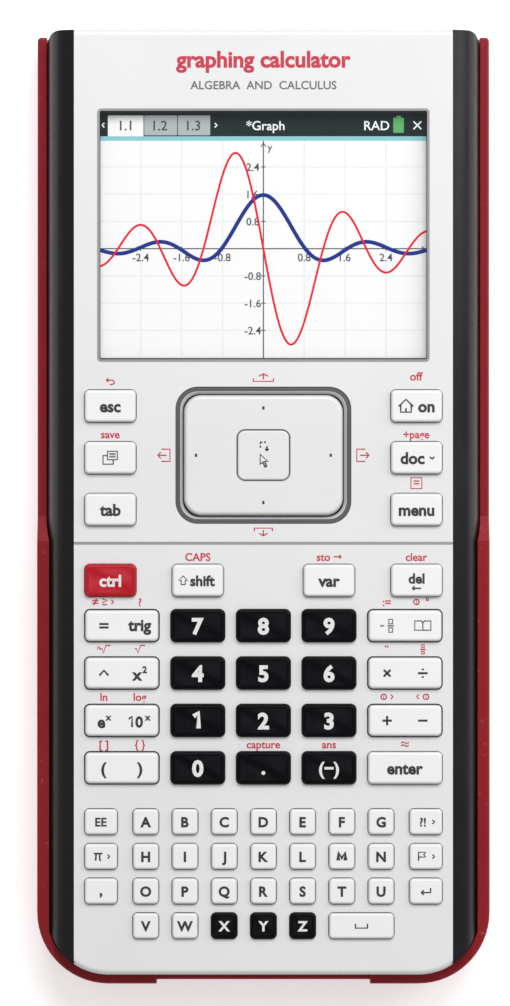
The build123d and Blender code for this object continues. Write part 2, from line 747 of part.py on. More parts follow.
# ---- Touchpad ------------------------------------------------------------------------------------
def make_trim_ring():
    """The trim ring round the touchpad, with the two lugs that hold the carrier."""
    z_ring_top = z_front - ring_recess
    ring = plate(
        0, y_touchpad, touchpad_width, touchpad_height, touchpad_corner_radius, z_ring_flange, z_ring_top
    )
    flange_width = touchpad_width + 2 * ring_lip
    flange_height = touchpad_height + 2 * ring_lip
    flange_radius = touchpad_corner_radius + ring_lip
    ring += plate(0, y_touchpad, flange_width, flange_height, flange_radius, z_ring_flange, z_under)
    ring -= plate(
        0, y_touchpad, ring_inner_width, ring_inner_height, ring_inner_radius, z_ring_flange, z_ring_top
    )
    lug_half = trunnion_boss_radius + running_clearance
    for side in (-1, 1):
        x0, x1 = sorted((side * lug_inside, side * (lug_inside + lug_thickness)))
        lug = block(x0, x1, y_touchpad - lug_half, y_touchpad + lug_half, z_tilt - lug_half, z_ring_flange)
        ring += lug - pin_along_x(x0, x1, y_touchpad, z_tilt, trunnion_radius + running_clearance)
    return ring


def make_carrier():
    """The tilting frame between the trim ring and the pad."""
    half_thickness = carrier_thickness / 2
    low = z_tilt - half_thickness
    high = z_tilt + half_thickness
    width = 2 * carrier_outside_x
    height = 2 * carrier_outside_y
    frame = plate(0, y_touchpad, width, height, inner_corner_radius, low, high)
    frame -= block(
        -carrier_inside_x,
        carrier_inside_x,
        y_touchpad - carrier_inside_y,
        y_touchpad + carrier_inside_y,
        low,
        high,
    )
    for x0, x1 in (
        (-lug_inside - lug_thickness, carrier_bar - carrier_outside_x),
        (carrier_outside_x - carrier_bar, lug_inside + lug_thickness),
    ):
        frame += pin_along_x(x0, x1, y_touchpad, z_tilt, trunnion_radius)
    for y0, y1 in (
        (y_touchpad - carrier_outside_y, y_touchpad - carrier_inside_y),
        (y_touchpad + carrier_inside_y, y_touchpad + carrier_outside_y),
    ):
        frame += pin_along_y(0, y0, y1, z_tilt, trunnion_boss_radius)
        frame -= pin_along_y(0, y0, y1, z_tilt, trunnion_radius + running_clearance)
    return frame


def make_touchpad():
    """The touchpad's cap, with two legs whose trunnions turn in the carrier."""
    pad = plate(0, y_touchpad, pad_width, pad_height, pad_radius, z_pad_bottom, z_pad_top)
    pad = round_top(pad, pad_edge_radius)
    hole_radius = centre_button_corner_radius + key_clearance
    pad -= plate(0, y_touchpad, button_hole_width, button_hole_height, hole_radius, z_pad_bottom, z_pad_top)
    half = pad_leg_width / 2
    leg_inside = leg_outside - pad_leg_thickness
    for side in (-1, 1):
        y0, y1 = sorted((y_touchpad + side * leg_inside, y_touchpad + side * leg_outside))
        pad += block(-half, half, y0, y1, z_tilt - trunnion_boss_radius, z_pad_bottom)
        p0, p1 = sorted((y_touchpad + side * leg_inside, y_touchpad + side * carrier_outside_y))
        pad += pin_along_y(0, p0, p1, z_tilt, trunnion_radius)
    return pad


def make_touchpad_board():
    """The touch sensor board bonded under the pad, with a plunger over each tilt dome."""
    board = block(
        -board_half_width,
        board_half_width,
        y_touchpad - board_half_height,
        y_touchpad + board_half_height,
        z_touch_board,
        z_pad_bottom,
    )
    for x, y in touch_dome_places()[1:]:
        board += post(x, y, dome_plunger_radius, z_touch_dome + dome_gap, z_touch_board)
    opening_width = centre_button_width + 2 * centre_button_lip + 2 * key_clearance
    opening_height = centre_button_height + 2 * centre_button_lip + 2 * key_clearance
    radius = centre_button_corner_radius
    board -= plate(0, y_touchpad, opening_width, opening_height, radius, z_touch_board, z_pad_bottom)
    return board


def make_centre_button():
    """The button in the middle of the touchpad."""
    z_cap = z_pad_top + centre_button_proud
    flange_top = z_pad_bottom - flange_gap
    flange_bottom = flange_top - centre_button_flange
    radius = centre_button_corner_radius
    button = plate(0, y_touchpad, centre_button_width, centre_button_height, radius, flange_bottom, z_cap)
    button = round_top(button, key_edge_radius)
    flange_width = centre_button_width + 2 * centre_button_lip
    flange_height = centre_button_height + 2 * centre_button_lip
    button += plate(0, y_touchpad, flange_width, flange_height, radius, flange_bottom, flange_top)
    return button + post(0, y_touchpad, plunger_radius, z_touch_dome + dome_gap, flange_bottom)


# ---- Display -------------------------------------------------------------------------------------
def make_display_window():
    """The clear window, with a lip that is bonded under the faceplate."""
    width = window_width - 2 * window_clearance
    height = window_height - 2 * window_clearance
    z_face = z_front - window_recess
    pane = plate(0, y_window, width, height, window_corner_radius, z_window_lip, z_face)
    lip_width = window_width + 2 * window_lip
    lip_height = window_height + 2 * window_lip
    return pane + plate(0, y_window, lip_width, lip_height, window_corner_radius, z_window_lip, z_under)


def make_display_layer(z0, z1):
    """One flat layer of the display."""
    return plate(0, y_window, lcd_width, lcd_height, inner_corner_radius, z0, z1)


def make_flex():
    """The ribbon from the display's upper edge down to the circuit board."""
    half = flex_thickness / 2
    y_edge = y_window + lcd_height / 2
    z_high = z_lcd_bottom + half
    z_low = z_pcb_top + half
    path = FilletPolyline(
        (y_edge, z_high),
        (y_edge + flex_reach, z_high),
        (y_edge + flex_reach, z_low),
        (y_edge + flex_reach + flex_tail, z_low),
        radius=flex_bend_radius,
    )
    ribbon = trace(path, flex_thickness)
    return Pos(flex_x, 0, 0) * extrude(Plane.YZ * ribbon, flex_width / 2, both=True)


# ---- Battery, connectors and screws --------------------------------------------------------------
def make_battery_pack():
    """The flat rechargeable pack."""
    top = z_floor + battery_thickness
    pack = plate(0, y_battery, battery_width, battery_height, battery_edge_radius, z_floor, top)
    return round_top(pack, battery_edge_radius / 2)


def make_contact_block():
    """The spring contact block on the board's underside, with its fingers on the battery."""
    x = battery_width / 2 - contact_block_inset
    y = y_battery + battery_height / 2 - contact_block_inset
    z_battery_top = z_floor + battery_thickness
    low = z_battery_top + contact_finger_length
    half_width = contact_block_width / 2
    half_height = contact_block_height / 2
    body = block(x - half_width, x + half_width, y - half_height, y + half_height, low, z_pcb_bottom)
    for step in (-1, 0, 1):
        finger_x = x + step * contact_finger_pitch
        body += post(finger_x, y, contact_finger_radius, z_battery_top, low)
    return body


def make_shield_can():
    """The shield over the processor, on the board's underside."""
    half_width = shield_width / 2
    half_height = shield_height / 2
    low = z_pcb_bottom - shield_depth
    y0 = y_shield - half_height
    y1 = y_shield + half_height
    can = block(-half_width, half_width, y0, y1, low, z_pcb_bottom)
    return can - block(
        shield_wall - half_width,
        half_width - shield_wall,
        y0 + shield_wall,
        y1 - shield_wall,
        low + shield_wall,
        z_pcb_bottom,
    )


def make_usb_port():
    """The small data and charging socket in the upper end."""
    half_width = usb_width / 2
    half_height = usb_height / 2
    mouth = y_top - usb_setback
    rear = mouth - usb_depth
    shell = block(-half_width, half_width, rear, mouth, z_usb - half_height, z_usb + half_height)
    shell -= block(
        usb_wall - half_width,
        half_width - usb_wall,
        rear + usb_wall,
        mouth,
        z_usb + usb_wall - half_height,
        z_usb + half_height - usb_wall,
    )
    tongue_half = half_width - 2 * usb_wall
    tongue_rise = usb_tongue_thickness / 2
    tongue_end = mouth - 2 * usb_wall
    tongue = block(-tongue_half, tongue_half, rear, tongue_end, z_usb - tongue_rise, z_usb + tongue_rise)
    return shell + tongue


def make_dock_connector():
    """The docking connector in the lower end."""
    half_width = dock_width / 2
    half_height = dock_height / 2
    face = y_bottom + dock_setback
    shoulder = y_bottom + back_wall + seat_gap
    body = block(-half_width, half_width, face, shoulder, z_dock - half_height, z_dock + half_height)
    wide = half_width + dock_shoulder
    body += block(-wide, wide, shoulder, face + dock_depth, z_dock - half_height, z_pcb_bottom)
    mouth_half = half_width - dock_mouth_margin
    mouth_rise = half_height - dock_mouth_margin / 2
    return body - block(
        -mouth_half, mouth_half, face, face + dock_mouth_depth, z_dock - mouth_rise, z_dock + mouth_rise
    )


def make_case_screws():
    """The screws that clamp the back housing, the board and the frame."""
    screws = []
    head_low = z_back + screw_head_recess
    head_high = head_low + screw_head_height
    for x, y in case_screw_places:
        head = post(x, y, screw_head_radius, head_low, head_high)
        screws.append(head + post(x, y, screw_shank_radius, head_high, z_pcb_top + screw_bite))
    return group(screws)


def make_door_screws():
    """The two screws of the battery door."""
    screws = []
    head_low = z_back + door_screw_head_recess
    head_high = head_low + door_screw_head_height
    for x, y in door_screw_places:
        head = post(x, y, screw_head_radius, head_low, head_high)
        screws.append(head + post(x, y, screw_shank_radius, head_high, head_high + door_screw_length))
    return group(screws)


# ---- Every node ----------------------------------------------------------------------------------
upper_faceplate, lower_faceplate = make_faceplates()
nodes = {
    "slide_cover": make_slide_cover(),
    "back_housing": make_back_housing(),
    "battery_door": make_battery_door(),
    "battery_door_screws": make_door_screws(),
    "side_rail_left": make_side_rail(-1),
    "side_rail_right": make_side_rail(1),
    "upper_faceplate": upper_faceplate,
    "lower_faceplate": lower_faceplate,
    "inner_frame": make_inner_frame(),
    "display_window": make_display_window(),
    "lcd_panel": make_display_layer(z_lcd_bottom, z_lcd_top),
    "lcd_backlight": make_display_layer(z_backlight_bottom, z_lcd_bottom),
    "lcd_flex": make_flex(),
    "main_circuit_board": make_circuit_board(),
    "keypad_membrane": make_membrane(),
    "shield_can": make_shield_can(),
    "battery_pack": make_battery_pack(),
    "battery_contact_block": make_contact_block(),
    "usb_port": make_usb_port(),
    "dock_connector": make_dock_connector(),
    "case_screws": make_case_screws(),
    "touchpad_trim_ring": make_trim_ring(),
    "touchpad_carrier": make_carrier(),
    "touchpad": make_touchpad(),
    "touchpad_board": make_touchpad_board(),
    "centre_button": make_centre_button(),
}
for name, (x, y, width) in pressed_keys.items():
    nodes[name] = pressed_key(x, y, width)
for name, (x, y) in rocker_keys.items():
    nodes[name] = rocker_key(x, y)
for name, (y, keys) in letter_key_rows.items():
    nodes[name] = group([letter_key(x, y, width) for x, width in keys])

os.makedirs("parts", exist_ok=True)
for name, shape in nodes.items():
    shape.label = name
    export_step(shape, f"parts/{name}.step")
print(len(nodes), "nodes")
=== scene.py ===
import json
import logging
import math
from contextlib import contextmanager
from dataclasses import dataclass, field
from enum import Enum
from typing import Callable, Iterable, Iterator, Optional, Sequence

import bmesh
import bpy
from mathutils import Matrix, Vector


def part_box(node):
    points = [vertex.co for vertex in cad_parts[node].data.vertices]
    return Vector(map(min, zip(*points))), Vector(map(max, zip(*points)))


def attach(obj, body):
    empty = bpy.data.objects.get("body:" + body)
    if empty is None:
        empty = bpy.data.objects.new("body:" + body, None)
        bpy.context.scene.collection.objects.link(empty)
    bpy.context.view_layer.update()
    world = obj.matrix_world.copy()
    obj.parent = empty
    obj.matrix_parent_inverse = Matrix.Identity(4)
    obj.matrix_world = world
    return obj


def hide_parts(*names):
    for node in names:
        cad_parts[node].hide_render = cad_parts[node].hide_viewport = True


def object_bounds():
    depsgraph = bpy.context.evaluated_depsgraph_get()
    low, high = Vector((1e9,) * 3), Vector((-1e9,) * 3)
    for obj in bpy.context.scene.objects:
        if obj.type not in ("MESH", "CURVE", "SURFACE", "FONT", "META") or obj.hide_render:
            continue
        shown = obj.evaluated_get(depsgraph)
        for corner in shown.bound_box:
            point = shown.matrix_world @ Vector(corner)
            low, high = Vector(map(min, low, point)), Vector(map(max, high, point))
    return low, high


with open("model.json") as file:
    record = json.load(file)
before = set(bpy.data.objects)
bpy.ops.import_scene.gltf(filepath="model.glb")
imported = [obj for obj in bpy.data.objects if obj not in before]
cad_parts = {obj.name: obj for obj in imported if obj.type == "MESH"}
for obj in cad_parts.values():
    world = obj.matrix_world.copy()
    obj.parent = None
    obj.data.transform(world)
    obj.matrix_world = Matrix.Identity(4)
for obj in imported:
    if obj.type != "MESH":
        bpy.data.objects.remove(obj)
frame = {"nodes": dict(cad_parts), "record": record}
CAD_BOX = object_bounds()
MM = 0.001
HANDHELD = "handheld"
log = logging.getLogger("calculator")

Colour = tuple[float, float, float]
Point = tuple[float, float]
Strokes = Sequence[Sequence[Point]]


# ---- Modelling bench -----------------------------------------------------------------------------
def select_nothing() -> None:
    """Deselects every object, so that an operator only acts on what is chosen next."""
    for obj in list(bpy.context.selected_objects):
        obj.select_set(False)


def select_only(*objects: bpy.types.Object) -> None:
    """Selects some objects and makes the first one active.

    Args:
        objects: The objects to select.
    """
    select_nothing()
    for obj in objects:
        obj.select_set(True)
    bpy.context.view_layer.objects.active = objects[0]


@contextmanager
def editing(obj: bpy.types.Object) -> Iterator[None]:
    """Holds an object in edit mode with nothing selected.

    Args:
        obj: The mesh object to edit.
    """
    select_only(obj)
    bpy.ops.object.mode_set(mode="EDIT")
    bpy.ops.mesh.select_all(action="DESELECT")
    yield
    bpy.ops.object.mode_set(mode="OBJECT")


def pick_faces(obj: bpy.types.Object, test: Callable[[bmesh.types.BMFace], bool]) -> None:
    """Selects in edit mode the faces that pass a test.

    Args:
        obj: The object in edit mode.
        test: Says whether a face is wanted.
    """
    bpy.ops.mesh.select_mode(type="FACE")
    bpy.ops.mesh.select_all(action="DESELECT")
    mesh = bmesh.from_edit_mesh(obj.data)
    for face in mesh.faces:
        face.select_set(bool(test(face)))
    bmesh.update_edit_mesh(obj.data)


def pick_edges(obj: bpy.types.Object, test: Callable[[bmesh.types.BMEdge], bool]) -> None:
    """Selects in edit mode the edges that pass a test.

    Args:
        obj: The object in edit mode.
        test: Says whether an edge is wanted.
    """
    bpy.ops.mesh.select_mode(type="EDGE")
    bpy.ops.mesh.select_all(action="DESELECT")
    mesh = bmesh.from_edit_mesh(obj.data)
    for edge in mesh.edges:
        edge.select_set(bool(test(edge)))
    bmesh.update_edit_mesh(obj.data)


def is_upright(edge: bmesh.types.BMEdge) -> bool:
    """Tells whether an edge stands along Z."""
    along = (edge.verts[0].co - edge.verts[1].co).normalized()
    return abs(along.z) > 0.99


def both_at(edge: bmesh.types.BMEdge, z: float) -> bool:
    """Tells whether both ends of an edge lie at a height."""
    near = 1e-6
    return all(abs(vert.co.z - z) < near for vert in edge.verts)


def box_piece(name: str, low: Vector, high: Vector) -> bpy.types.Object:
    """Adds a box at its size and place, with the place in its mesh.

    Args:
        name: The new object's name.
        low: Its lowest corner.
        high: Its highest corner.

    Returns:
        The box, ready to be shaped.
    """
    select_nothing()
    bpy.ops.mesh.primitive_cube_add(size=1, location=(low + high) / 2, scale=high - low)
    obj = bpy.context.active_object
    obj.name = name
    bpy.ops.object.transform_apply(location=True, rotation=True, scale=True)
    return obj


def smooth(obj: bpy.types.Object, degrees: float = 35.0) -> None:
    """Shades an object smooth, apart from the edges sharper than an angle.

    Args:
        obj: The object.
        degrees: Edges that turn further than this stay sharp.
    """
    select_only(obj)
    bpy.ops.object.shade_smooth_by_angle(angle=math.radians(degrees))


def weigh_normals(obj: bpy.types.Object) -> None:
    """Lets the large faces of a smooth object keep their flat shading."""
    bpy.ops.object.modifier_add(type="WEIGHTED_NORMAL")
    obj.modifiers[-1].keep_sharp = True
    bpy.ops.object.modifier_apply(modifier=obj.modifiers[-1].name)


def rounded_plate(
    name: str, low: Vector, high: Vector, corner: float, edge: float = 0.0, segments: int = 5
) -> bpy.types.Object:
    """A flat plate with rounded upright corners and, if wanted, a rounded upper edge.

    Args:
        name: The piece's name.
        low: Its lowest corner.
        high: Its highest corner.
        corner: Radius of the upright corners.
        edge: Radius of the upper edge, or 0 for a sharp one.
        segments: How many faces a rounded corner has.

    Returns:
        The plate.
    """
    obj = box_piece(name, low, high)
    with editing(obj):
        pick_edges(obj, is_upright)
        bpy.ops.mesh.bevel(offset=corner, segments=segments, affect="EDGES")
        if edge:
            pick_edges(obj, lambda e: both_at(e, high.z))
            bpy.ops.mesh.bevel(offset=edge, segments=3, affect="EDGES")
    smooth(obj)
    return obj


def copy_at(master: bpy.types.Object, name: str, offset: Vector) -> bpy.types.Object:
    """A copy of a modelled piece with a mesh of its own, moved in its mesh.

    Args:
        master: The piece that was modelled once.
        name: The copy's name.
        offset: How far the copy lies from the master.

    Returns:
        The copy.
    """
    copy = master.copy()
    copy.data = master.data.copy()
    copy.name = name
    copy.data.transform(Matrix.Translation(offset))
    bpy.context.scene.collection.objects.link(copy)
    return copy


def merged(name: str, parts: Sequence[bpy.types.Object]) -> bpy.types.Object:
    """Joins several meshes into one piece.

    Args:
        name: The piece's name.
        parts: The meshes.

    Returns:
        The joined piece.
    """
    select_only(*parts)
    if len(parts) > 1:
        bpy.ops.object.join()
    parts[0].name = name
    return parts[0]


def lettering(text: str, middle: Vector, size: float, weight: float, depth: float) -> bpy.types.Object:
    """A word as a thin closed mesh, centred on a point and facing up.

    Args:
        text: The word.
        middle: Its middle.
        size: Height of its capitals.
        weight: How much the strokes are thickened, as a share of the height.
        depth: Thickness of the ink, half of it on each side of the middle.

    Returns:
        The word's mesh.
    """
    capital_share = 0.73
    select_nothing()
    bpy.ops.object.text_add(location=(0, 0, 0))
    obj = bpy.context.active_object
    obj.data.body = text
    obj.data.size = size / capital_share
    obj.data.offset = weight * size
    obj.data.extrude = depth / 2
    obj.data.resolution_u = 3
    bpy.ops.object.convert(target="MESH")
    obj = bpy.context.active_object
    xs = [vert.co.x for vert in obj.data.vertices]
    shift = Vector((-(min(xs) + max(xs)) / 2, -size / 2, 0))
    obj.data.transform(Matrix.Translation(middle + shift))
    return obj


def stroke(points: Sequence[Vector], width: float, depth: float, closed: bool = False) -> bpy.types.Object:
    """A flat line of even width through some points.

    Args:
        points: What the line runs through, all at one height.
        width: Its width.
        depth: Its thickness.
        closed: Whether it comes back to its start.

    Returns:
        The line's mesh.
    """
    select_nothing()
    bpy.ops.curve.primitive_bezier_curve_add(location=(0, 0, 0))
    obj = bpy.context.active_object
    obj.data.splines.clear()
    spline = obj.data.splines.new("POLY")
    spline.points.add(len(points) - 1)
    for target, place in zip(spline.points, points):
        target.co = (*place, 1)
    spline.use_cyclic_u = closed
    obj.data.dimensions = "3D"
    obj.data.bevel_depth = width / 2
    obj.data.bevel_resolution = 1
    obj.data.use_fill_caps = True
    bpy.ops.object.convert(target="MESH")
    obj = bpy.context.active_object
    with editing(obj):
        bpy.ops.mesh.select_all(action="SELECT")
        bpy.ops.transform.resize(value=(1, 1, depth / width), center_override=points[0])
    return obj


# ---- Shader bench --------------------------------------------------------------------------------
class Sheet:
    """A node tree with short ways to add nodes and join them."""

    def __init__(self, tree: bpy.types.NodeTree) -> None:
        """Takes the tree to work in."""
        self.tree = tree

    def add(self, kind: str, **settings: object) -> bpy.types.Node:
        """Adds a node and sets its properties.

        Args:
            kind: The node's type name.
            settings: Properties of the node.

        Returns:
            The node.
        """
        node = self.tree.nodes.new(kind)
        for key, value in settings.items():
            setattr(node, key, value)
        return node

    def join(self, source: bpy.types.NodeSocket, target: bpy.types.NodeSocket) -> None:
        """Links one socket to another."""
        self.tree.links.new(source, target)

    def noise(self, vector: bpy.types.NodeSocket, scale: object, detail: float) -> bpy.types.NodeSocket:
        """A noise value over a vector, at a fixed scale or one from a socket.

        Args:
            vector: Where the noise is read.
            scale: Its scale per metre, a number or a socket.
            detail: How many finer layers it has.

        Returns:
            The noise value's socket.
        """
        node = self.add("ShaderNodeTexNoise")
        node.inputs["Detail"].default_value = detail
        self.join(vector, node.inputs["Vector"])
        if isinstance(scale, bpy.types.NodeSocket):
            self.join(scale, node.inputs["Scale"])
        else:
            node.inputs["Scale"].default_value = scale
        return node.outputs["Fac"]

    def remap(
        self, value: bpy.types.NodeSocket, low: float, high: float, to_low: float, to_high: float
    ) -> bpy.types.NodeSocket:
        """Maps a value from one range to another, clamped.

        Args:
            value: The value's socket.
            low: Start of its range.
            high: End of its range.
            to_low: Result at the start.
            to_high: Result at the end.

        Returns:
            The mapped value's socket.
        """
        node = self.add("ShaderNodeMapRange", clamp=True)
        for name, number in zip(("From Min", "From Max", "To Min", "To Max"), (low, high, to_low, to_high)):
            node.inputs[name].default_value = number
        self.join(value, node.inputs["Value"])
        return node.outputs["Result"]

    def math(self, operation: str, *values: object) -> bpy.types.NodeSocket:
        """A maths node on numbers or sockets.

        Args:
            operation: What it works out.
            values: Its inputs in order.

        Returns:
            The result's socket.
        """
        node = self.add("ShaderNodeMath", operation=operation)
        for socket, value in zip(node.inputs, values):
            if isinstance(value, bpy.types.NodeSocket):
                self.join(value, socket)
            else:
                socket.default_value = value
        return node.outputs["Value"]

    def mix(self, share: bpy.types.NodeSocket, first: object, second: object) -> bpy.types.NodeSocket:
        """Mixes two colours, each a colour or a socket.

        Args:
            share: How much of the second there is.
            first: The first colour.
            second: The second colour.

        Returns:
            The mixed colour's socket.
        """
        node = self.add("ShaderNodeMix", data_type="RGBA")
        self.join(share, node.inputs["Factor"])
        for socket, value in ((node.inputs[6], first), (node.inputs[7], second)):
            if isinstance(value, bpy.types.NodeSocket):
                self.join(value, socket)
            else:
                socket.default_value = (*value, 1)
        return node.outputs[2]


def new_group(
    name: str, inputs: Sequence[tuple[str, str, float]], outputs: Sequence[tuple[str, str]]
) -> Sheet:
    """Starts a shader node group with named sockets.

    Args:
        name: The group's name.
        inputs: Name, kind and starting value of each input.
        outputs: Name and kind of each output.

    Returns:
        A sheet for the group's tree.
    """
    tree = bpy.data.node_groups.new(name, "ShaderNodeTree")
    for title, kind, value in inputs:
        socket = tree.interface.new_socket(title, in_out="INPUT", socket_type=kind)
        if kind == "NodeSocketFloat":
            socket.default_value = value
    for title, kind in outputs:
        tree.interface.new_socket(title, in_out="OUTPUT", socket_type=kind)
    return Sheet(tree)


class Effects:
    """The shader effects that several finishes share."""

    def __init__(self) -> None:
        """Builds each group once."""
        self.grain = self.moulded_grain()
        self.handling = self.handling_marks()
        self.dust = self.settled_dust()
        self.edge_tint = self.pointed_edge_tint()

    def moulded_grain(self) -> bpy.types.NodeTree:
        """The fine sparkle-free texture of moulded plastic, with a slow drift in tone.

        Returns:
            A group from Vector and Scale to Tone and Height.
        """
        sheet = new_group(
            "moulded_grain",
            [("Vector", "NodeSocketVector", 0), ("Scale", "NodeSocketFloat", 2500)],
            [("Tone", "NodeSocketFloat"), ("Height", "NodeSocketFloat")],
        )
        source = sheet.add("NodeGroupInput")
        result = sheet.add("NodeGroupOutput")
        fine = sheet.noise(source.outputs["Vector"], source.outputs["Scale"], 2)
        slow = sheet.noise(source.outputs["Vector"], 28, 2)
        tone = sheet.math("ADD", sheet.math("MULTIPLY", fine, 0.35), sheet.math("MULTIPLY", slow, 0.65))
        sheet.join(tone, result.inputs["Tone"])
        sheet.join(fine, result.inputs["Height"])
        return sheet.tree

    def handling_marks(self) -> bpy.types.NodeTree:
        """Soft patches where hands have polished or dulled a surface.

        Returns:
            A group from Vector to Mask.
        """
        outputs = [("Mask", "NodeSocketFloat")]
        sheet = new_group("handling_marks", [("Vector", "NodeSocketVector", 0)], outputs)
        source = sheet.add("NodeGroupInput")
        result = sheet.add("NodeGroupOutput")
        patches = sheet.noise(source.outputs["Vector"], 55, 4)
        streaks = sheet.noise(source.outputs["Vector"], 420, 1)
        broad = sheet.math("MULTIPLY", patches, 0.75)
        fine = sheet.math("MULTIPLY", streaks, 0.25)
        both = sheet.math("ADD", broad, fine)
        sheet.join(sheet.remap(both, 0.4, 0.62, 0, 1), result.inputs["Mask"])
        return sheet.tree

    def settled_dust(self) -> bpy.types.NodeTree:
        """A few fine specks of dust.

        Returns:
            A group from Vector and Amount to Mask.
        """
        sheet = new_group(
            "settled_dust",
            [("Vector", "NodeSocketVector", 0), ("Amount", "NodeSocketFloat", 0.3)],
            [("Mask", "NodeSocketFloat")],
        )
        source = sheet.add("NodeGroupInput")
        result = sheet.add("NodeGroupOutput")
        specks = sheet.remap(sheet.noise(source.outputs["Vector"], 900, 3), 0.66, 0.8, 0, 1)
        sheet.join(sheet.math("MULTIPLY", specks, source.outputs["Amount"]), result.inputs["Mask"])
        return sheet.tree

    def pointed_edge_tint(self) -> bpy.types.NodeTree:
        """Where a convex edge takes a tint, from how pointed the surface is.

        Returns:
            A group from Pointed and Vector to Mask.
        """
        sheet = new_group(
            "pointed_edge_tint",
            [("Pointed", "NodeSocketFloat", 0.5), ("Vector", "NodeSocketVector", 0)],
            [("Mask", "NodeSocketFloat")],
        )
        source = sheet.add("NodeGroupInput")
        result = sheet.add("NodeGroupOutput")
        edge = sheet.remap(source.outputs["Pointed"], 0.52, 0.62, 0, 1)
        broken = sheet.remap(sheet.noise(source.outputs["Vector"], 350, 3), 0.35, 0.65, 0.4, 1)
        sheet.join(sheet.math("MULTIPLY", edge, broken), result.inputs["Mask"])
        return sheet.tree


EFFECTS = Effects()


def blank_material(name: str) -> tuple[bpy.types.Material, Sheet, bpy.types.Node, bpy.types.NodeSocket]:
    """Starts a material with its Principled shader and its object coordinates.

    Args:
        name: The material's name.

    Returns:
        The material, its sheet, its shader and the coordinates' socket.
    """
    material = bpy.data.materials.new(name)
    material.use_nodes = True
    sheet = Sheet(material.node_tree)
    shader = material.node_tree.nodes["Principled BSDF"]
    place = sheet.add("ShaderNodeTexCoord").outputs["Object"]
    return material, sheet, shader, place


def use_group(sheet: Sheet, group: bpy.types.NodeTree, **values: object) -> bpy.types.Node:
    """Places a shared effect in a material.

    Args:
        sheet: The material's sheet.
        group: The effect.
        values: Its inputs, numbers or sockets.

    Returns:
        The group node.
    """
    node = sheet.add("ShaderNodeGroup", node_tree=group)
    for name, value in values.items():
        if isinstance(value, bpy.types.NodeSocket):
            sheet.join(value, node.inputs[name])
        else:
            node.inputs[name].default_value = value
    return node


# ---- Finishes ------------------------------------------------------------------------------------
@dataclass(frozen=True)
class Moulding:
    """Moulded or painted plastic with a fine grain, light handling and a little dust, and, where given,
    painted shade on faces that turn away from up.
    """

    name: str
    colour: Colour
    shade: Colour
    gloss: tuple[float, float]
    grain_scale: float = 2600.0
    grain_height: float = 0.004
    dust: float = 0.15
    dust_colour: Colour = (0.62, 0.6, 0.57)
    coat: float = 0.0
    coat_roughness: float = 0.15
    specular: float = 0.5
    # Colour that pointed edges are tinted towards.
    edge_tint_colour: Optional[Colour] = None
    # Painted shade: the colour that faces turning away from up are darkened towards.
    painted_side_shade: Optional[Colour] = None

    def material(self) -> bpy.types.Material:
        """Makes the finish's material."""
        material, sheet, shader, place = blank_material(self.name)
        grain = use_group(sheet, EFFECTS.grain, Vector=place, Scale=self.grain_scale)
        marks = use_group(sheet, EFFECTS.handling, Vector=place)
        dust = use_group(sheet, EFFECTS.dust, Vector=place, Amount=self.dust)
        tone = sheet.remap(grain.outputs["Tone"], 0.38, 0.62, 0, 1)
        colour = sheet.mix(tone, self.shade, self.colour)
        # Painted shade: the colour darkens as the face's normal turns from up towards the side.
        if self.painted_side_shade:
            turned = sheet.add("ShaderNodeSeparateXYZ")
            sheet.join(sheet.add("ShaderNodeTexCoord").outputs["Normal"], turned.inputs["Vector"])
            colour = sheet.mix(sheet.remap(turned.outputs["Z"], 0.2, 0.99, 1, 0), colour, self.painted_side_shade)
        # Pointed edges are tinted lighter, broken up by noise.
        if self.edge_tint_colour:
            pointed = sheet.add("ShaderNodeNewGeometry").outputs["Pointiness"]
            edge_tint = use_group(sheet, EFFECTS.edge_tint, Pointed=pointed, Vector=place)
            colour = sheet.mix(edge_tint.outputs["Mask"], colour, self.edge_tint_colour)
        colour = sheet.mix(dust.outputs["Mask"], colour, self.dust_colour)
        sheet.join(colour, shader.inputs["Base Color"])
        sheet.join(sheet.remap(marks.outputs["Mask"], 0, 1, *self.gloss), shader.inputs["Roughness"])
        bump = sheet.add("ShaderNodeBump")
        bump.inputs["Strength"].default_value = 0.5
        bump.inputs["Distance"].default_value = self.grain_height * MM
        sheet.join(grain.outputs["Height"], bump.inputs["Height"])
        sheet.join(bump.outputs["Normal"], shader.inputs["Normal"])
        shader.inputs["Coat Weight"].default_value = self.coat
        shader.inputs["Coat Roughness"].default_value = self.coat_roughness
        shader.inputs["Specular IOR Level"].default_value = self.specular
        return material


@dataclass(frozen=True)
class PrintedInk:
    """Pad-printed ink, slightly uneven."""

    name: str
    colour: Colour
    thin: Colour
    roughness: float = 0.45

    def material(self) -> bpy.types.Material:
        """Makes the ink's material."""
        material, sheet, shader, place = blank_material(self.name)
        uneven = sheet.remap(sheet.noise(place, 1400, 3), 0.35, 0.65, 0, 1)
        sheet.join(sheet.mix(uneven, self.thin, self.colour), shader.inputs["Base Color"])
        gloss = sheet.remap(uneven, 0, 1, self.roughness + 0.1, self.roughness - 0.05)
        sheet.join(gloss, shader.inputs["Roughness"])
        return material


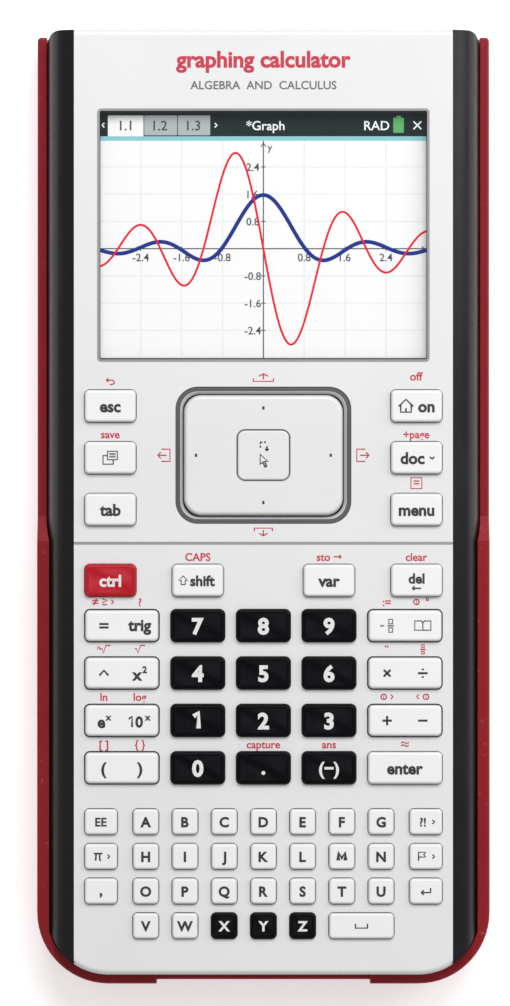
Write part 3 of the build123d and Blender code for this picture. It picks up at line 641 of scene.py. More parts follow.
@dataclass(frozen=True)
class Metal:
    """Plated or tinned sheet and screw metal with fine brushing."""

    name: str
    colour: Colour
    shade: Colour
    roughness: tuple[float, float]
    brush: tuple[float, float, float] = (300.0, 3000.0, 3000.0)

    def material(self) -> bpy.types.Material:
        """Makes the metal's material."""
        material, sheet, shader, place = blank_material(self.name)
        mapping = sheet.add("ShaderNodeMapping")
        mapping.inputs["Scale"].default_value = self.brush
        sheet.join(place, mapping.inputs["Vector"])
        lines = sheet.noise(mapping.outputs["Vector"], 1, 3)
        marks = use_group(sheet, EFFECTS.handling, Vector=place)
        sheet.join(sheet.mix(lines, self.shade, self.colour), shader.inputs["Base Color"])
        sheet.join(sheet.remap(marks.outputs["Mask"], 0, 1, *self.roughness), shader.inputs["Roughness"])
        shader.inputs["Metallic"].default_value = 1
        bump = sheet.add("ShaderNodeBump")
        bump.inputs["Strength"].default_value = 0.3
        bump.inputs["Distance"].default_value = 0.003 * MM
        sheet.join(lines, bump.inputs["Height"])
        sheet.join(bump.outputs["Normal"], shader.inputs["Normal"])
        return material


@dataclass(frozen=True)
class WindowPane:
    """Clear hard-coated plastic: it lets the display through and mirrors a little light."""

    name: str = "clear_window_pane"
    roughness: tuple[float, float] = (0.04, 0.1)

    def material(self) -> bpy.types.Material:
        """Makes the pane's material."""
        material, sheet, shader, place = blank_material(self.name)
        material.node_tree.nodes.remove(shader)
        marks = use_group(sheet, EFFECTS.handling, Vector=place)
        clear = sheet.add("ShaderNodeBsdfTransparent")
        mirror = sheet.add("ShaderNodeBsdfGlossy")
        sheet.join(sheet.remap(marks.outputs["Mask"], 0, 1, *self.roughness), mirror.inputs["Roughness"])
        fresnel = sheet.add("ShaderNodeFresnel")
        fresnel.inputs["IOR"].default_value = 1.45
        front = sheet.math("SUBTRACT", 1, sheet.add("ShaderNodeNewGeometry").outputs["Backfacing"])
        mixed = sheet.add("ShaderNodeMixShader")
        sheet.join(sheet.math("MULTIPLY", fresnel.outputs["Fac"], front), mixed.inputs["Fac"])
        sheet.join(clear.outputs["BSDF"], mixed.inputs[1])
        sheet.join(mirror.outputs["BSDF"], mixed.inputs[2])
        sheet.join(mixed.outputs["Shader"], material.node_tree.nodes["Material Output"].inputs["Surface"])
        return material


@dataclass(frozen=True)
class LitLayer:
    """A lit patch of the display, with its faint grid of cells and, on the page, ruled lines."""

    name: str
    colour: Colour
    glow: float
    cell_pitch: float = 0.203 * MM
    rules: Optional[tuple[float, float, float]] = None
    rule_colour: Colour = (0.7, 0.76, 0.78)
    rule_width: float = 0.22 * MM
    origin: Vector = field(default_factory=lambda: Vector((0, 0, 0)))

    def material(self) -> bpy.types.Material:
        """Makes the patch's material."""
        material, sheet, shader, place = blank_material(self.name)
        shift = sheet.add("ShaderNodeMapping")
        shift.inputs["Location"].default_value = -self.origin
        sheet.join(place, shift.inputs["Vector"])
        split = sheet.add("ShaderNodeSeparateXYZ")
        sheet.join(shift.outputs["Vector"], split.inputs["Vector"])
        along = [split.outputs["X"], split.outputs["Y"]]
        rows = [sheet.math("PINGPONG", axis, self.cell_pitch / 2) for axis in along]
        grid = sheet.math("MINIMUM", *rows)
        lit = sheet.remap(grid, 0, self.cell_pitch / 8, 0, 1)
        dim = tuple(0.94 * value for value in self.colour)
        colour = sheet.mix(lit, dim, self.colour)
        if self.rules:
            pitches = self.rules[:2]
            lines = [sheet.math("PINGPONG", axis, pitch / 2) for axis, pitch in zip(along, pitches)]
            near = sheet.math("MINIMUM", *lines)
            share = sheet.remap(near, self.rule_width / 2, self.rule_width, self.rules[2], 0)
            colour = sheet.mix(share, colour, self.rule_colour)
        sheet.join(colour, shader.inputs["Base Color"])
        sheet.join(colour, shader.inputs["Emission Color"])
        shader.inputs["Emission Strength"].default_value = self.glow
        shader.inputs["Roughness"].default_value = 0.5
        shader.inputs["Specular IOR Level"].default_value = 0.0
        return material


class Ink(Enum):
    """The inks that legends are printed in."""

    DARK = PrintedInk("dark_grey_ink", (0.022, 0.023, 0.027), (0.04, 0.041, 0.045))
    RED = PrintedInk("red_ink", (0.56, 0.025, 0.06), (0.62, 0.05, 0.085))
    WHITE = PrintedInk("white_ink", (0.85, 0.85, 0.86), (0.76, 0.76, 0.78))
    GREY = PrintedInk("grey_ink", (0.13, 0.13, 0.14), (0.17, 0.17, 0.18))


FINISHES = {
    "red_cover": Moulding(
        "satin_red_plastic", (0.29, 0.011, 0.017), (0.255, 0.009, 0.015), (0.34, 0.46), specular=0.22
    ),
    "dark_shell": Moulding(
        "textured_dark_plastic",
        (0.035, 0.036, 0.04),
        (0.028, 0.029, 0.032),
        (0.55, 0.68),
        grain_scale=1500,
        grain_height=0.03,
    ),
    "black_gloss": Moulding(
        "glossy_black_plastic",
        (0.0045, 0.005, 0.0065),
        (0.0035, 0.004, 0.005),
        (0.24, 0.32),
        grain_height=0.001,
        dust=0.0,
        specular=0.33,
    ),
    "white_face": Moulding(
        "satin_white_face",
        (0.84, 0.84, 0.845),
        (0.82, 0.82, 0.825),
        (0.36, 0.46),
        grain_height=0.004,
        dust=0.06,
        # painted shade on the face's walls and rounded edges
        painted_side_shade=(0.4, 0.4, 0.41),
    ),
    "dark_frame": Moulding("dark_frame_plastic", (0.05, 0.05, 0.055), (0.04, 0.04, 0.045), (0.5, 0.62)),
    "grey_trim": Moulding(
        "dark_satin_trim", (0.11, 0.112, 0.118), (0.095, 0.097, 0.102), (0.34, 0.46), dust=0.02
    ),
    "white_pad": Moulding(
        "smooth_white_pad",
        (0.83, 0.83, 0.835),
        (0.81, 0.81, 0.815),
        (0.3, 0.4),
        grain_height=0.001,
        dust=0.04,
        # painted shade on the pad's rounded edge
        painted_side_shade=(0.3, 0.3, 0.31),
    ),
    "white_key": Moulding(
        "white_key_plastic",
        (0.93, 0.93, 0.93),
        (0.91, 0.91, 0.91),
        (0.3, 0.42),
        grain_height=0.002,
        dust=0.04,
        # painted shade on the keys' rounded edges and sides
        painted_side_shade=(0.42, 0.42, 0.43),
    ),
    "black_key": Moulding(
        "black_key_plastic",
        (0.003, 0.003, 0.0042),
        (0.0022, 0.0022, 0.0034),
        (0.36, 0.48),
        grain_height=0.002,
        dust=0.0,
        specular=0.07,
        edge_tint_colour=(0.01, 0.01, 0.012),
    ),
    "red_key": Moulding(
        "red_key_plastic",
        (0.5, 0.008, 0.018),
        (0.45, 0.007, 0.016),
        (0.3, 0.42),
        grain_height=0.002,
        dust=0.02,
        specular=0.2,
        edge_tint_colour=(0.55, 0.03, 0.05),
    ),
    "silicone": Moulding(
        "grey_silicone", (0.5, 0.5, 0.49), (0.45, 0.45, 0.44), (0.6, 0.7), grain_height=0.01, dust=0.1
    ),
    "light_guide": Moulding("frosted_guide", (0.85, 0.85, 0.83), (0.8, 0.8, 0.78), (0.5, 0.6), dust=0.0),
    "display_glass": Moulding(
        "display_glass_edge",
        (0.045, 0.048, 0.052),
        (0.04, 0.042, 0.046),
        (0.12, 0.2),
        grain_height=0.0005,
        dust=0.0,
    ),
    "flex_film": Moulding("amber_film", (0.5, 0.22, 0.03), (0.42, 0.17, 0.02), (0.35, 0.45), dust=0.02),
    "board_green": Moulding(
        "green_solder_mask",
        (0.02, 0.16, 0.06),
        (0.012, 0.11, 0.042),
        (0.3, 0.42),
        grain_scale=700,
        dust=0.02,
    ),
    "battery_wrap": Moulding("battery_film", (0.08, 0.09, 0.11), (0.06, 0.07, 0.09), (0.3, 0.45), dust=0.03),
    "connector_black": Moulding(
        "connector_plastic", (0.02, 0.02, 0.022), (0.015, 0.015, 0.017), (0.45, 0.6), dust=0.05
    ),
    "screw_steel": Metal("zinc_steel", (0.55, 0.55, 0.56), (0.42, 0.42, 0.44), (0.28, 0.42)),
    "tin_plate": Metal("tinned_sheet", (0.68, 0.68, 0.66), (0.58, 0.58, 0.57), (0.25, 0.4)),
    "clear_window": WindowPane(),
}

# Grey of the strip in the seam between the faceplates, where it is painted shade in the gap; the window
# frame uses it too.
SEAM_FINISH = Moulding("grey_seam", (0.34, 0.34, 0.345), (0.31, 0.31, 0.315), (0.5, 0.6), dust=0.02)
# Pale grey of the collars round the touchpad and its centre button: painted shade at their edges and gaps.
SHADE_COLLAR_FINISH = Moulding("painted_shade_collar", (0.66, 0.66, 0.67), (0.62, 0.62, 0.63), (0.4, 0.5), dust=0.02)


class Wardrobe:
    """Keeps one material of each finish."""

    def __init__(self) -> None:
        """Starts with no material made."""
        self.made: dict[object, bpy.types.Material] = {}

    def slot(self, name: str) -> bpy.types.Material:
        """The material of one of the record's slots."""
        return self.of(FINISHES[name])

    def of(self, finish: object) -> bpy.types.Material:
        """The material of a finish, made the first time it is asked for."""
        if finish.name not in self.made:
            self.made[finish.name] = finish.material()
        return self.made[finish.name]


WARDROBE = Wardrobe()


def publish(
    obj: bpy.types.Object,
    body: str,
    material: bpy.types.Material,
    replaces: Sequence[str] = (),
) -> bpy.types.Object:
    """Dresses a finished piece and puts it on its body.

    Args:
        obj: The piece.
        body: The body that it rides on.
        material: Its material.
        replaces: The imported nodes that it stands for.

    Returns:
        The piece.
    """
    obj.data.materials.clear()
    obj.data.materials.append(material)
    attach(obj, body)
    if replaces:
        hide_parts(*replaces)
    log.info("%s rides on %s", obj.name, body)
    return obj


# ---- Signs and words -----------------------------------------------------------------------------
SIGNS: dict[str, Strokes] = {
    "house": (
        ((-1, -0.05), (0, 0.9), (1, -0.05)),
        ((-0.72, 0.1), (-0.72, -0.85), (0.72, -0.85), (0.72, 0.1)),
        ((0, -0.85), (0, -0.3)),
    ),
    "sheets": (
        ((-0.35, 0.85), (0.95, 0.85), (0.95, -0.25), (-0.35, -0.25), (-0.35, 0.85)),
        ((-0.35, 0.3), (-0.95, 0.3), (-0.95, -0.85), (0.4, -0.85), (0.4, -0.25)),
        ((-0.1, 0.5), (0.7, 0.5)),
        ((-0.1, 0.15), (0.7, 0.15)),
    ),
    "down_tick": (((-0.8, 0.35), (0, -0.45), (0.8, 0.35)),),
    "right_tick": (((-0.35, 0.8), (0.45, 0), (-0.35, -0.8)),),
    "left_tick": (((0.35, 0.8), (-0.45, 0), (0.35, -0.8)),),
    "left_arrow": (((1, 0), (-0.9, 0)), ((-0.45, 0.45), (-0.9, 0), (-0.45, -0.45))),
    "right_arrow": (((-1, 0), (0.9, 0)), ((0.45, 0.45), (0.9, 0), (0.45, -0.45))),
    "undo": (
        ((-0.85, 0.2), (0.4, 0.2), (0.8, -0.05), (0.8, -0.45), (0.4, -0.7), (-0.1, -0.7)),
        ((-0.45, 0.6), (-0.85, 0.2), (-0.45, -0.2)),
    ),
    "return": (((0.9, 0.6), (0.9, -0.25), (-0.85, -0.25)), ((-0.4, 0.2), (-0.85, -0.25), (-0.4, -0.7))),
    "shift_up": (
        (
            (0, 0.95),
            (-0.9, 0.05),
            (-0.42, 0.05),
            (-0.42, -0.85),
            (0.42, -0.85),
            (0.42, 0.05),
            (0.9, 0.05),
            (0, 0.95),
        ),
    ),
    "page": (
        ((-0.75, -0.9), (-0.75, 0.9), (0.75, 0.9), (0.75, -0.9), (-0.75, -0.9)),
        ((-0.4, 0.35), (0.4, 0.35)),
        ((-0.4, -0.1), (0.4, -0.1)),
    ),
    "page_left": (
        ((-0.35, 0.9), (0.9, 0.9), (0.9, -0.9), (-0.35, -0.9)),
        ((0.4, 0), (-0.9, 0)),
        ((-0.45, 0.45), (-0.9, 0), (-0.45, -0.45)),
    ),
    "page_right": (
        ((0.35, 0.9), (-0.9, 0.9), (-0.9, -0.9), (0.35, -0.9)),
        ((-0.4, 0), (0.9, 0)),
        ((0.45, 0.45), (0.9, 0), (0.45, -0.45)),
    ),
    "page_up": (
        ((-1, -0.1), (-1, -0.7), (1, -0.7), (1, -0.1)),
        ((0, -0.3), (0, 0.8)),
        ((-0.45, 0.35), (0, 0.8), (0.45, 0.35)),
    ),
    "page_down": (
        ((-1, 0.1), (-1, 0.7), (1, 0.7), (1, 0.1)),
        ((0, 0.3), (0, -0.8)),
        ((-0.45, -0.35), (0, -0.8), (0.45, -0.35)),
    ),
    "book": (
        ((0, -0.55), (-1, -0.55), (-1, 0.6), (-0.2, 0.6), (0, 0.4), (0, -0.55)),
        ((0, 0.4), (0.2, 0.6), (1, 0.6), (1, -0.55), (0, -0.55)),
    ),
    "template": (
        ((-1, 0), (-0.45, 0)),
        ((0.05, 0), (1, 0)),
        ((0.25, 0.3), (0.25, 0.95), (0.8, 0.95), (0.8, 0.3), (0.25, 0.3)),
        ((0.25, -0.3), (0.25, -0.95), (0.8, -0.95), (0.8, -0.3), (0.25, -0.3)),
    ),
    "small_fraction": (
        ((-0.55, 0), (0.55, 0)),
        ((-0.25, 0.35), (-0.25, 0.9), (0.25, 0.9), (0.25, 0.35), (-0.25, 0.35)),
        ((-0.25, -0.35), (-0.25, -0.9), (0.25, -0.9), (0.25, -0.35), (-0.25, -0.35)),
    ),
    "space": (((-1, 0.35), (-1, -0.35), (1, -0.35), (1, 0.35)),),
    "flag": (((-0.8, -0.9), (-0.8, 0.9), (0.7, 0.9), (0.3, 0.4), (0.7, -0.1), (-0.8, -0.1)),),
    "pointer": (
        (
            (-0.55, 0.95),
            (-0.55, -0.5),
            (-0.15, -0.2),
            (0.15, -0.9),
            (0.4, -0.8),
            (0.1, -0.1),
            (0.6, -0.1),
            (-0.55, 0.95),
        ),
    ),
    "drag": (
        ((-0.6, 0.5), (-0.6, 0.9), (-0.2, 0.9)),
        ((0.1, 0.9), (0.5, 0.9)),
        ((-0.6, 0.2), (-0.6, -0.2)),
        ((0.7, 0.1), (0.7, -0.8)),
        ((0.35, -0.45), (0.7, -0.8), (1.05, -0.45)),
    ),
    "em": (((-0.75, -0.78), (-0.68, 0.78), (0, -0.35), (0.68, 0.78), (0.75, -0.78)),),
    "one": (((-0.5, 0.5), (0.08, 0.93), (0.08, -0.97)),),
    "caret": (((-0.8, -0.4), (0, 0.5), (0.8, -0.4)),),
    "equals": (((-0.8, 0.3), (0.8, 0.3)), ((-0.8, -0.3), (0.8, -0.3))),
    "plus": (((-0.8, 0), (0.8, 0)), ((0, -0.8), (0, 0.8))),
    "minus": (((-0.8, 0), (0.8, 0)),),
    "times": (((-0.6, -0.6), (0.6, 0.6)), ((-0.6, 0.6), (0.6, -0.6))),
    "divide": (((-0.8, 0), (0.8, 0)), ((0, 0.5), (0, 0.75)), ((0, -0.5), (0, -0.75))),
    "dot": (((-0.2, 0), (0.2, 0)),),
    "root": (((-1, 0.1), (-0.7, 0.2), (-0.35, -0.8), (0.1, 0.9), (1, 0.9)),),
    "approx": (
        ((-0.8, 0.2), (-0.4, 0.5), (0, 0.3), (0.4, 0.1), (0.8, 0.4)),
        ((-0.8, -0.4), (-0.4, -0.1), (0, -0.3), (0.4, -0.5), (0.8, -0.2)),
    ),
    "not_equal": (
        ((-0.8, 0.3), (0.8, 0.3)),
        ((-0.8, -0.3), (0.8, -0.3)),
        ((-0.35, -0.8), (0.35, 0.8)),
    ),
    "at_least": (((-0.7, 0.9), (0.6, 0.35), (-0.7, -0.2)), ((-0.7, -0.7), (0.6, -0.7))),
    "quote": (((-0.25, 0.9), (-0.25, 0.4)), ((0.25, 0.9), (0.25, 0.4))),
    "ring_dim": (
        ((0, 0.75), (-0.53, 0.53), (-0.75, 0), (-0.53, -0.53), (0, -0.75), (0, 0.75)),
        ((0, -0.75), (0.53, -0.53), (0.75, 0), (0.53, 0.53), (0, 0.75)),
    ),
    "pi": (
        ((-0.8, 0.6), (0.9, 0.6)),
        ((-0.35, 0.6), (-0.45, -0.8)),
        ((0.35, 0.6), (0.35, -0.65), (0.6, -0.8)),
    ),
}


@dataclass(frozen=True)
class Word:
    """A printed word, placed from its key's or area's middle, in millimetres."""

    text: str
    x: float = 0.0
    y: float = 0.0
    size: float = 1.7
    ink: Ink = Ink.DARK
    weight: float = 0.018

    def shape(self, middle: Vector, depth: float) -> bpy.types.Object:
        """Makes the word's mesh round a middle point."""
        place = middle + Vector((self.x, self.y, 0)) * MM
        return lettering(self.text, place, self.size * MM, self.weight, depth)


@dataclass(frozen=True)
class Sign:
    """A printed sign drawn in strokes, placed from its key's or area's middle, in millimetres."""

    name: str
    x: float = 0.0
    y: float = 0.0
    half: float = 1.2
    ink: Ink = Ink.DARK
    line: float = 0.32
    stretch: float = 1.0

    def shape(self, middle: Vector, depth: float) -> bpy.types.Object:
        """Makes the sign's mesh round a middle point."""
        place = middle + Vector((self.x, self.y, 0)) * MM + Vector((0, 0, depth / 4))
        lines = []
        for points in SIGNS[self.name]:
            closed = len(points) > 3 and points[0] == points[-1]
            drawn = points[:-1] if closed else points
            route = [place + Vector((x * self.stretch, y, 0)) * self.half * MM for x, y in drawn]
            lines.append(stroke(route, self.line * MM, depth, closed))
        return merged(f"sign_{self.name}", lines)


Print = Word | Sign


def print_marks(name: str, marks: Iterable[tuple[Print, Vector]], body: str, depth: float) -> None:
    """Makes printed marks as one piece for each ink.

    Args:
        name: Start of each piece's name.
        marks: Each mark with the middle that it is placed from.
        body: The body that they ride on.
        depth: Thickness of the ink.
    """
    by_ink: dict[Ink, list[bpy.types.Object]] = {}
    for mark, middle in marks:
        by_ink.setdefault(mark.ink, []).append(mark.shape(middle, depth))
    for ink, shapes in by_ink.items():
        piece = merged(f"{name}_{ink.name.lower()}", shapes)
        publish(piece, body, WARDROBE.of(ink.value))


# ---- Keys ----------------------------------------------------------------------------------------
@dataclass(frozen=True)
class KeyStyle:
    """The shape of one size of keycap."""

    lip: float = 0.7 * MM
    corner: float = 0.9 * MM
    edge: float = 0.6 * MM
    draft: float = 0.05 * MM
    swell: float = 0.16 * MM
    dish_margin: float = 0.2 * MM
    dish_depth: float = 0.04 * MM
    flange_below_top: float = 2.55 * MM
    flange_thickness: float = 0.8 * MM
    plunger_half: float = 1.15 * MM
    plungers: tuple[float, ...] = (0.0,)

    def model(self, name: str, width: float, height: float, top: float, foot: float) -> bpy.types.Object:
        """Models a keycap round X = Y = 0.

        Args:
            name: The piece's name.
            width: Width of the cap.
            height: Its height, seen from the front.
            top: Z of its top.
            foot: Z of its plunger's end.

        Returns:
            The keycap.
        """
        flange_top = top - self.flange_below_top
        half = Vector((width / 2 + self.swell, height / 2 + self.swell, 0))
        obj = box_piece(name, Vector((-half.x, -half.y, flange_top)), Vector((half.x, half.y, top)))
        widen = (1 + self.draft / half.x, 1 + self.draft / half.y, 1)
        with editing(obj):
            pick_edges(obj, is_upright)
            bpy.ops.mesh.bevel(offset=self.corner, segments=5, affect="EDGES")
            pick_edges(obj, lambda edge: both_at(edge, top))
            bpy.ops.mesh.bevel(offset=self.edge, segments=4, affect="EDGES")
            pick_faces(obj, lambda face: face.normal.z < -0.99)
            bpy.ops.transform.resize(value=widen, center_override=(0, 0, flange_top))
            self.dish(obj, top)
            self.flange(obj, half, flange_top)
        smooth(obj)
        weigh_normals(obj)
        return self.with_plungers(obj, flange_top - self.flange_thickness, foot)

    def dish(self, obj: bpy.types.Object, top: float) -> None:
        """Sinks the top a little, in two halves on a double key."""
        if len(self.plungers) > 1:
            pick_faces(obj, lambda face: face.normal.z > 0.99 and face.calc_center_median().z > top - 1e-6)
            bpy.ops.mesh.bisect(plane_co=(0, 0, top), plane_no=(1, 0, 0))
        pick_faces(obj, lambda face: face.normal.z > 0.99 and face.calc_center_median().z > top - 1e-6)
        bpy.ops.mesh.inset(thickness=self.dish_margin, depth=-self.dish_depth, use_individual=True)

    def flange(self, obj: bpy.types.Object, half: Vector, flange_top: float) -> None:
        """Draws the flange out of the cap's underside."""
        pick_faces(obj, lambda face: face.normal.z < -0.99)
        reach = self.lip - self.swell
        grow = ((half.x + reach) / half.x, (half.y + reach) / half.y, 1)
        bpy.ops.mesh.extrude_region_move()
        bpy.ops.transform.resize(value=grow, center_override=(0, 0, flange_top))
        bpy.ops.mesh.extrude_region_move(TRANSFORM_OT_translate={"value": (0, 0, -self.flange_thickness)})

    def with_plungers(self, obj: bpy.types.Object, under: float, foot: float) -> bpy.types.Object:
        """Adds the plungers under the flange."""
        parts = [obj]
        for x in self.plungers:
            low = Vector((x - self.plunger_half, -self.plunger_half, foot))
            high = Vector((x + self.plunger_half, self.plunger_half, under))
            parts.append(rounded_plate(f"{obj.name}_plunger", low, high, self.plunger_half * 0.6))
        return merged(obj.name, parts)


SINGLE_KEY = KeyStyle()
DOUBLE_KEY = KeyStyle(swell=0.04 * MM, flange_below_top=3.243 * MM, plungers=(-4.4 * MM, 4.4 * MM))
LETTER_KEY = KeyStyle(
    lip=0.5 * MM,
    corner=0.8 * MM,
    edge=0.52 * MM,
    dish_margin=0.18 * MM,
    dish_depth=0.03 * MM,
    flange_below_top=2.35 * MM,
    plunger_half=0.8 * MM,
)


def legend_word(text: str, size: float = 2.35, y: float = 0.0, ink: Ink = Ink.DARK, x: float = 0.0) -> Word:
    """A word of the usual weight for a key's own legend."""
    return Word(text, x=x, y=y, size=size, ink=ink, weight=0.045)


HALF_X = 3.55
KEY_LEGENDS: dict[str, Sequence[Print]] = {
    "esc_key": (legend_word("esc"),),
    "scratchpad_key": (Sign("sheets", half=1.5, ink=Ink.GREY),),
    "tab_key": (legend_word("tab"),),
    "home_key": (Sign("house", x=-2.1, half=1.45), legend_word("on", x=1.95)),
    "document_key": (legend_word("doc", x=-0.8), Sign("down_tick", x=3.1, half=0.55)),
    "menu_key": (legend_word("menu"),),
    "control_key": (legend_word("ctrl", ink=Ink.WHITE),),
    "shift_key": (Sign("shift_up", x=-2.9, half=0.95, line=0.25), legend_word("shift", x=0.95, size=2.1)),
    "variable_key": (legend_word("var"),),
    "delete_key": (legend_word("del", y=0.45, size=2.0), Sign("left_arrow", y=-1.55, half=0.9, line=0.3)),
    "enter_key": (legend_word("enter"),),
    "point_key": (Word(".", ink=Ink.WHITE, size=3.2, weight=0.04, y=0.4),),
    "negate_key": (legend_word("(−)", ink=Ink.WHITE, size=2.5),),
    "trig_rocker": (Sign("equals", x=-HALF_X, half=1.15, line=0.4), legend_word("trig", x=HALF_X, y=0.2)),
    "power_rocker": (
        Sign("caret", x=-HALF_X, half=1.1, line=0.4),
        legend_word("x", x=HALF_X - 0.5, y=-0.2),
        legend_word("2", x=HALF_X + 1.0, y=0.75, size=1.35),
    ),
    "exponential_rocker": (
        legend_word("e", x=-HALF_X - 0.5, y=-0.2),
        legend_word("x", x=-HALF_X + 0.9, y=0.75, size=1.35),
        Sign("one", x=HALF_X - 1.6, y=-0.2, half=1.1, line=0.4),
        legend_word("0", x=HALF_X - 0.1, y=-0.2, size=2.2),
        legend_word("x", x=HALF_X + 1.6, y=0.75, size=1.35),
    ),
    "bracket_rocker": (legend_word("(", x=-HALF_X), legend_word(")", x=HALF_X)),
    "template_rocker": (
        Sign("template", x=-HALF_X, half=1.35, ink=Ink.GREY, line=0.28),
        Sign("book", x=HALF_X, half=1.6, ink=Ink.GREY, line=0.28),
    ),
    "multiply_rocker": (
        Sign("times", x=-HALF_X, half=1.1, line=0.42),
        Sign("divide", x=HALF_X, half=1.2, line=0.42),
    ),
    "add_rocker": (
        Sign("plus", x=-HALF_X, half=1.15, line=0.42),
        Sign("minus", x=HALF_X, half=1.15, line=0.42),
    ),
}

SECOND_Y = 1.65  # from a key's upper edge to the middle of the legend above it


def second(text: str, x: float = 0.0, y: float = SECOND_Y, size: float = 1.6) -> Word:
    """A small red word above a key."""
    return Word(text, x=x, y=y, size=size, ink=Ink.RED, weight=0.03)


def second_sign(
    name: str, x: float = 0.0, y: float = SECOND_Y, half: float = 0.85, stretch: float = 1.0
) -> Sign:
    """A small red sign above a key."""
    return Sign(name, x=x, y=y, half=half, ink=Ink.RED, line=0.27, stretch=stretch)


SECOND_LEGENDS: dict[str, Sequence[Print]] = {
    "esc_key": (second_sign("undo", y=1.9, half=0.95),),
    "scratchpad_key": (second("save"),),
    "home_key": (second("off", y=2.9, size=1.7),),
    "document_key": (second("+page"),),
    "menu_key": (second_sign("page", y=2.2, half=1.2, stretch=1.2),),
    "shift_key": (second("CAPS"),),
    "variable_key": (second("sto", x=-1.1), second_sign("right_arrow", x=1.7, half=0.8)),
    "delete_key": (second("clear"),),
    "trig_rocker": (
        second_sign("not_equal", x=-5.3, half=0.8),
        second_sign("at_least", x=-3.4, half=0.75),
        second_sign("right_tick", x=-1.9, half=0.55),
        second("?", x=3.6),
    ),
    "power_rocker": (
        second("n", x=-4.6, y=2.1, size=1.0),
        second_sign("root", x=-3.3, half=0.85, stretch=1.2),
        second_sign("root", x=3.6, half=0.85, stretch=1.2),
    ),
    "exponential_rocker": (second("ln", x=-3.6), second("log", x=3.6)),
    "bracket_rocker": (second("[ ]", x=-3.6), second("{ }", x=3.6)),
    "template_rocker": (
        second(":=", x=-3.6),
        second_sign("ring_dim", x=2.3, half=0.75),
        second("°", x=4.5),
    ),
    "multiply_rocker": (
        second_sign("quote", x=-3.6, half=0.9),
        second_sign("small_fraction", x=3.6, half=1.0),
    ),
    "add_rocker": (
        second_sign("ring_dim", x=-4.2, half=0.75),
        second_sign("right_tick", x=-2.6, half=0.55),
        second_sign("left_tick", x=2.6, half=0.55),
        second_sign("ring_dim", x=4.2, half=0.75),
    ),
    "enter_key": (second_sign("approx", half=0.95),),
    "point_key": (second("capture"),),
    "negate_key": (second("ans"),),
}


@dataclass
class Keypad:
    """The pressed keys and the double keys, with their legends."""

    ink_depth: float = 0.08 * MM
    ink_sink: float = 0.025 * MM
    nodes: list[str] = field(default_factory=list)
    masters: dict[tuple[str, int], bpy.types.Object] = field(default_factory=dict)

    def build(self) -> None:
        """Models every key and prints its legends."""
        bodies = frame["record"]["behaviour"]["bodies"]
        names = [name for name in frame["nodes"] if name.endswith(("_key", "_rocker")) or name[-1].isdigit()]
        self.nodes = sorted(name for name in names if not name.startswith("letter"))
        seconds = []
        for name in self.nodes:
            body = next(key for key, members in bodies.items() if name in members)
            top = self.build_key(name, body)
            self.print_legend(name, body, top)
            seconds += [(mark, self.edge_above(name)) for mark in SECOND_LEGENDS.get(name, ())]
        print_marks("second_legends", seconds, HANDHELD, self.ink_depth / 2)
        for master in self.masters.values():
            bpy.data.objects.remove(master)

    def style_of(self, name: str) -> KeyStyle:
        """The style of a key's cap."""
        return DOUBLE_KEY if name.endswith("_rocker") else SINGLE_KEY

    def slot_of(self, name: str) -> str:
        """The finish of a key."""
        if name == "control_key":
            return "red_key"
        dark = name.startswith("number_key") or name in ("point_key", "negate_key")
        return "black_key" if dark else "white_key"

    def build_key(self, name: str, body: str) -> float:
        """Copies the master keycap of a key's size to the key's place.

        Args:
            name: The key's node.
            body: Its body.

        Returns:
            Z of the key's top.
        """
        style = self.style_of(name)
        low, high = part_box(name)
        width = high.x - low.x - 2 * style.lip
        height = high.y - low.y - 2 * style.lip
        kind = ("double" if style is DOUBLE_KEY else "single", round(width / MM * 10))
        if kind not in self.masters:
            self.masters[kind] = style.model(f"master_{kind[0]}_{kind[1]}", width, height, high.z, low.z)
        middle = Vector(((low.x + high.x) / 2, (low.y + high.y) / 2, 0))
        cap = copy_at(self.masters[kind], f"{name}_cap", middle)
        slot = self.slot_of(name)
        publish(cap, body, WARDROBE.slot(slot), [name])
        return high.z

    def print_legend(self, name: str, body: str, top: float) -> None:
        """Prints a key's own legend on its top."""
        low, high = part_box(name)
        middle = Vector(((low.x + high.x) / 2, (low.y + high.y) / 2, top - self.ink_sink))
        legend = KEY_LEGENDS.get(name)
        if name.startswith("number_key"):
            digit = Word(name[-1], ink=Ink.WHITE, size=3.2, weight=0.055)
            one = Sign("one", half=1.6, line=1.05, ink=Ink.WHITE)
            legend = (one,) if name[-1] == "1" else (digit,)
        if legend:
            print_marks(f"{name}_legend", [(mark, middle) for mark in legend], body, self.ink_depth)

    def edge_above(self, name: str) -> Vector:
        """The middle of a key's upper edge, on the face of the handheld."""
        low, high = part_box(name)
        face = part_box("upper_faceplate")[1].z
        return Vector(((low.x + high.x) / 2, high.y - self.style_of(name).lip, face))


ROW_LETTERS = ("ABCDEFG", "HIJKLMN", "OPQRSTU", "VWXYZ")
END_LEGENDS: dict[tuple[int, int], Sequence[Print]] = {
    (0, -1): (Word("EE", size=1.75, weight=0.03),),
    (0, 1): (Word("?!", x=-0.6, size=1.75, weight=0.03), Sign("right_tick", x=1.5, half=0.5, line=0.28)),
    (1, -1): (Sign("pi", x=-0.6, half=1.0), Sign("right_tick", x=1.5, half=0.5, line=0.28)),
    (1, 1): (Sign("flag", x=-0.7, half=0.95, line=0.28), Sign("right_tick", x=1.5, half=0.5, line=0.28)),
    (2, -1): (Word(",", size=2.2, weight=0.04, y=0.3),),
    (2, 1): (Sign("return", half=1.05, line=0.3),),
}


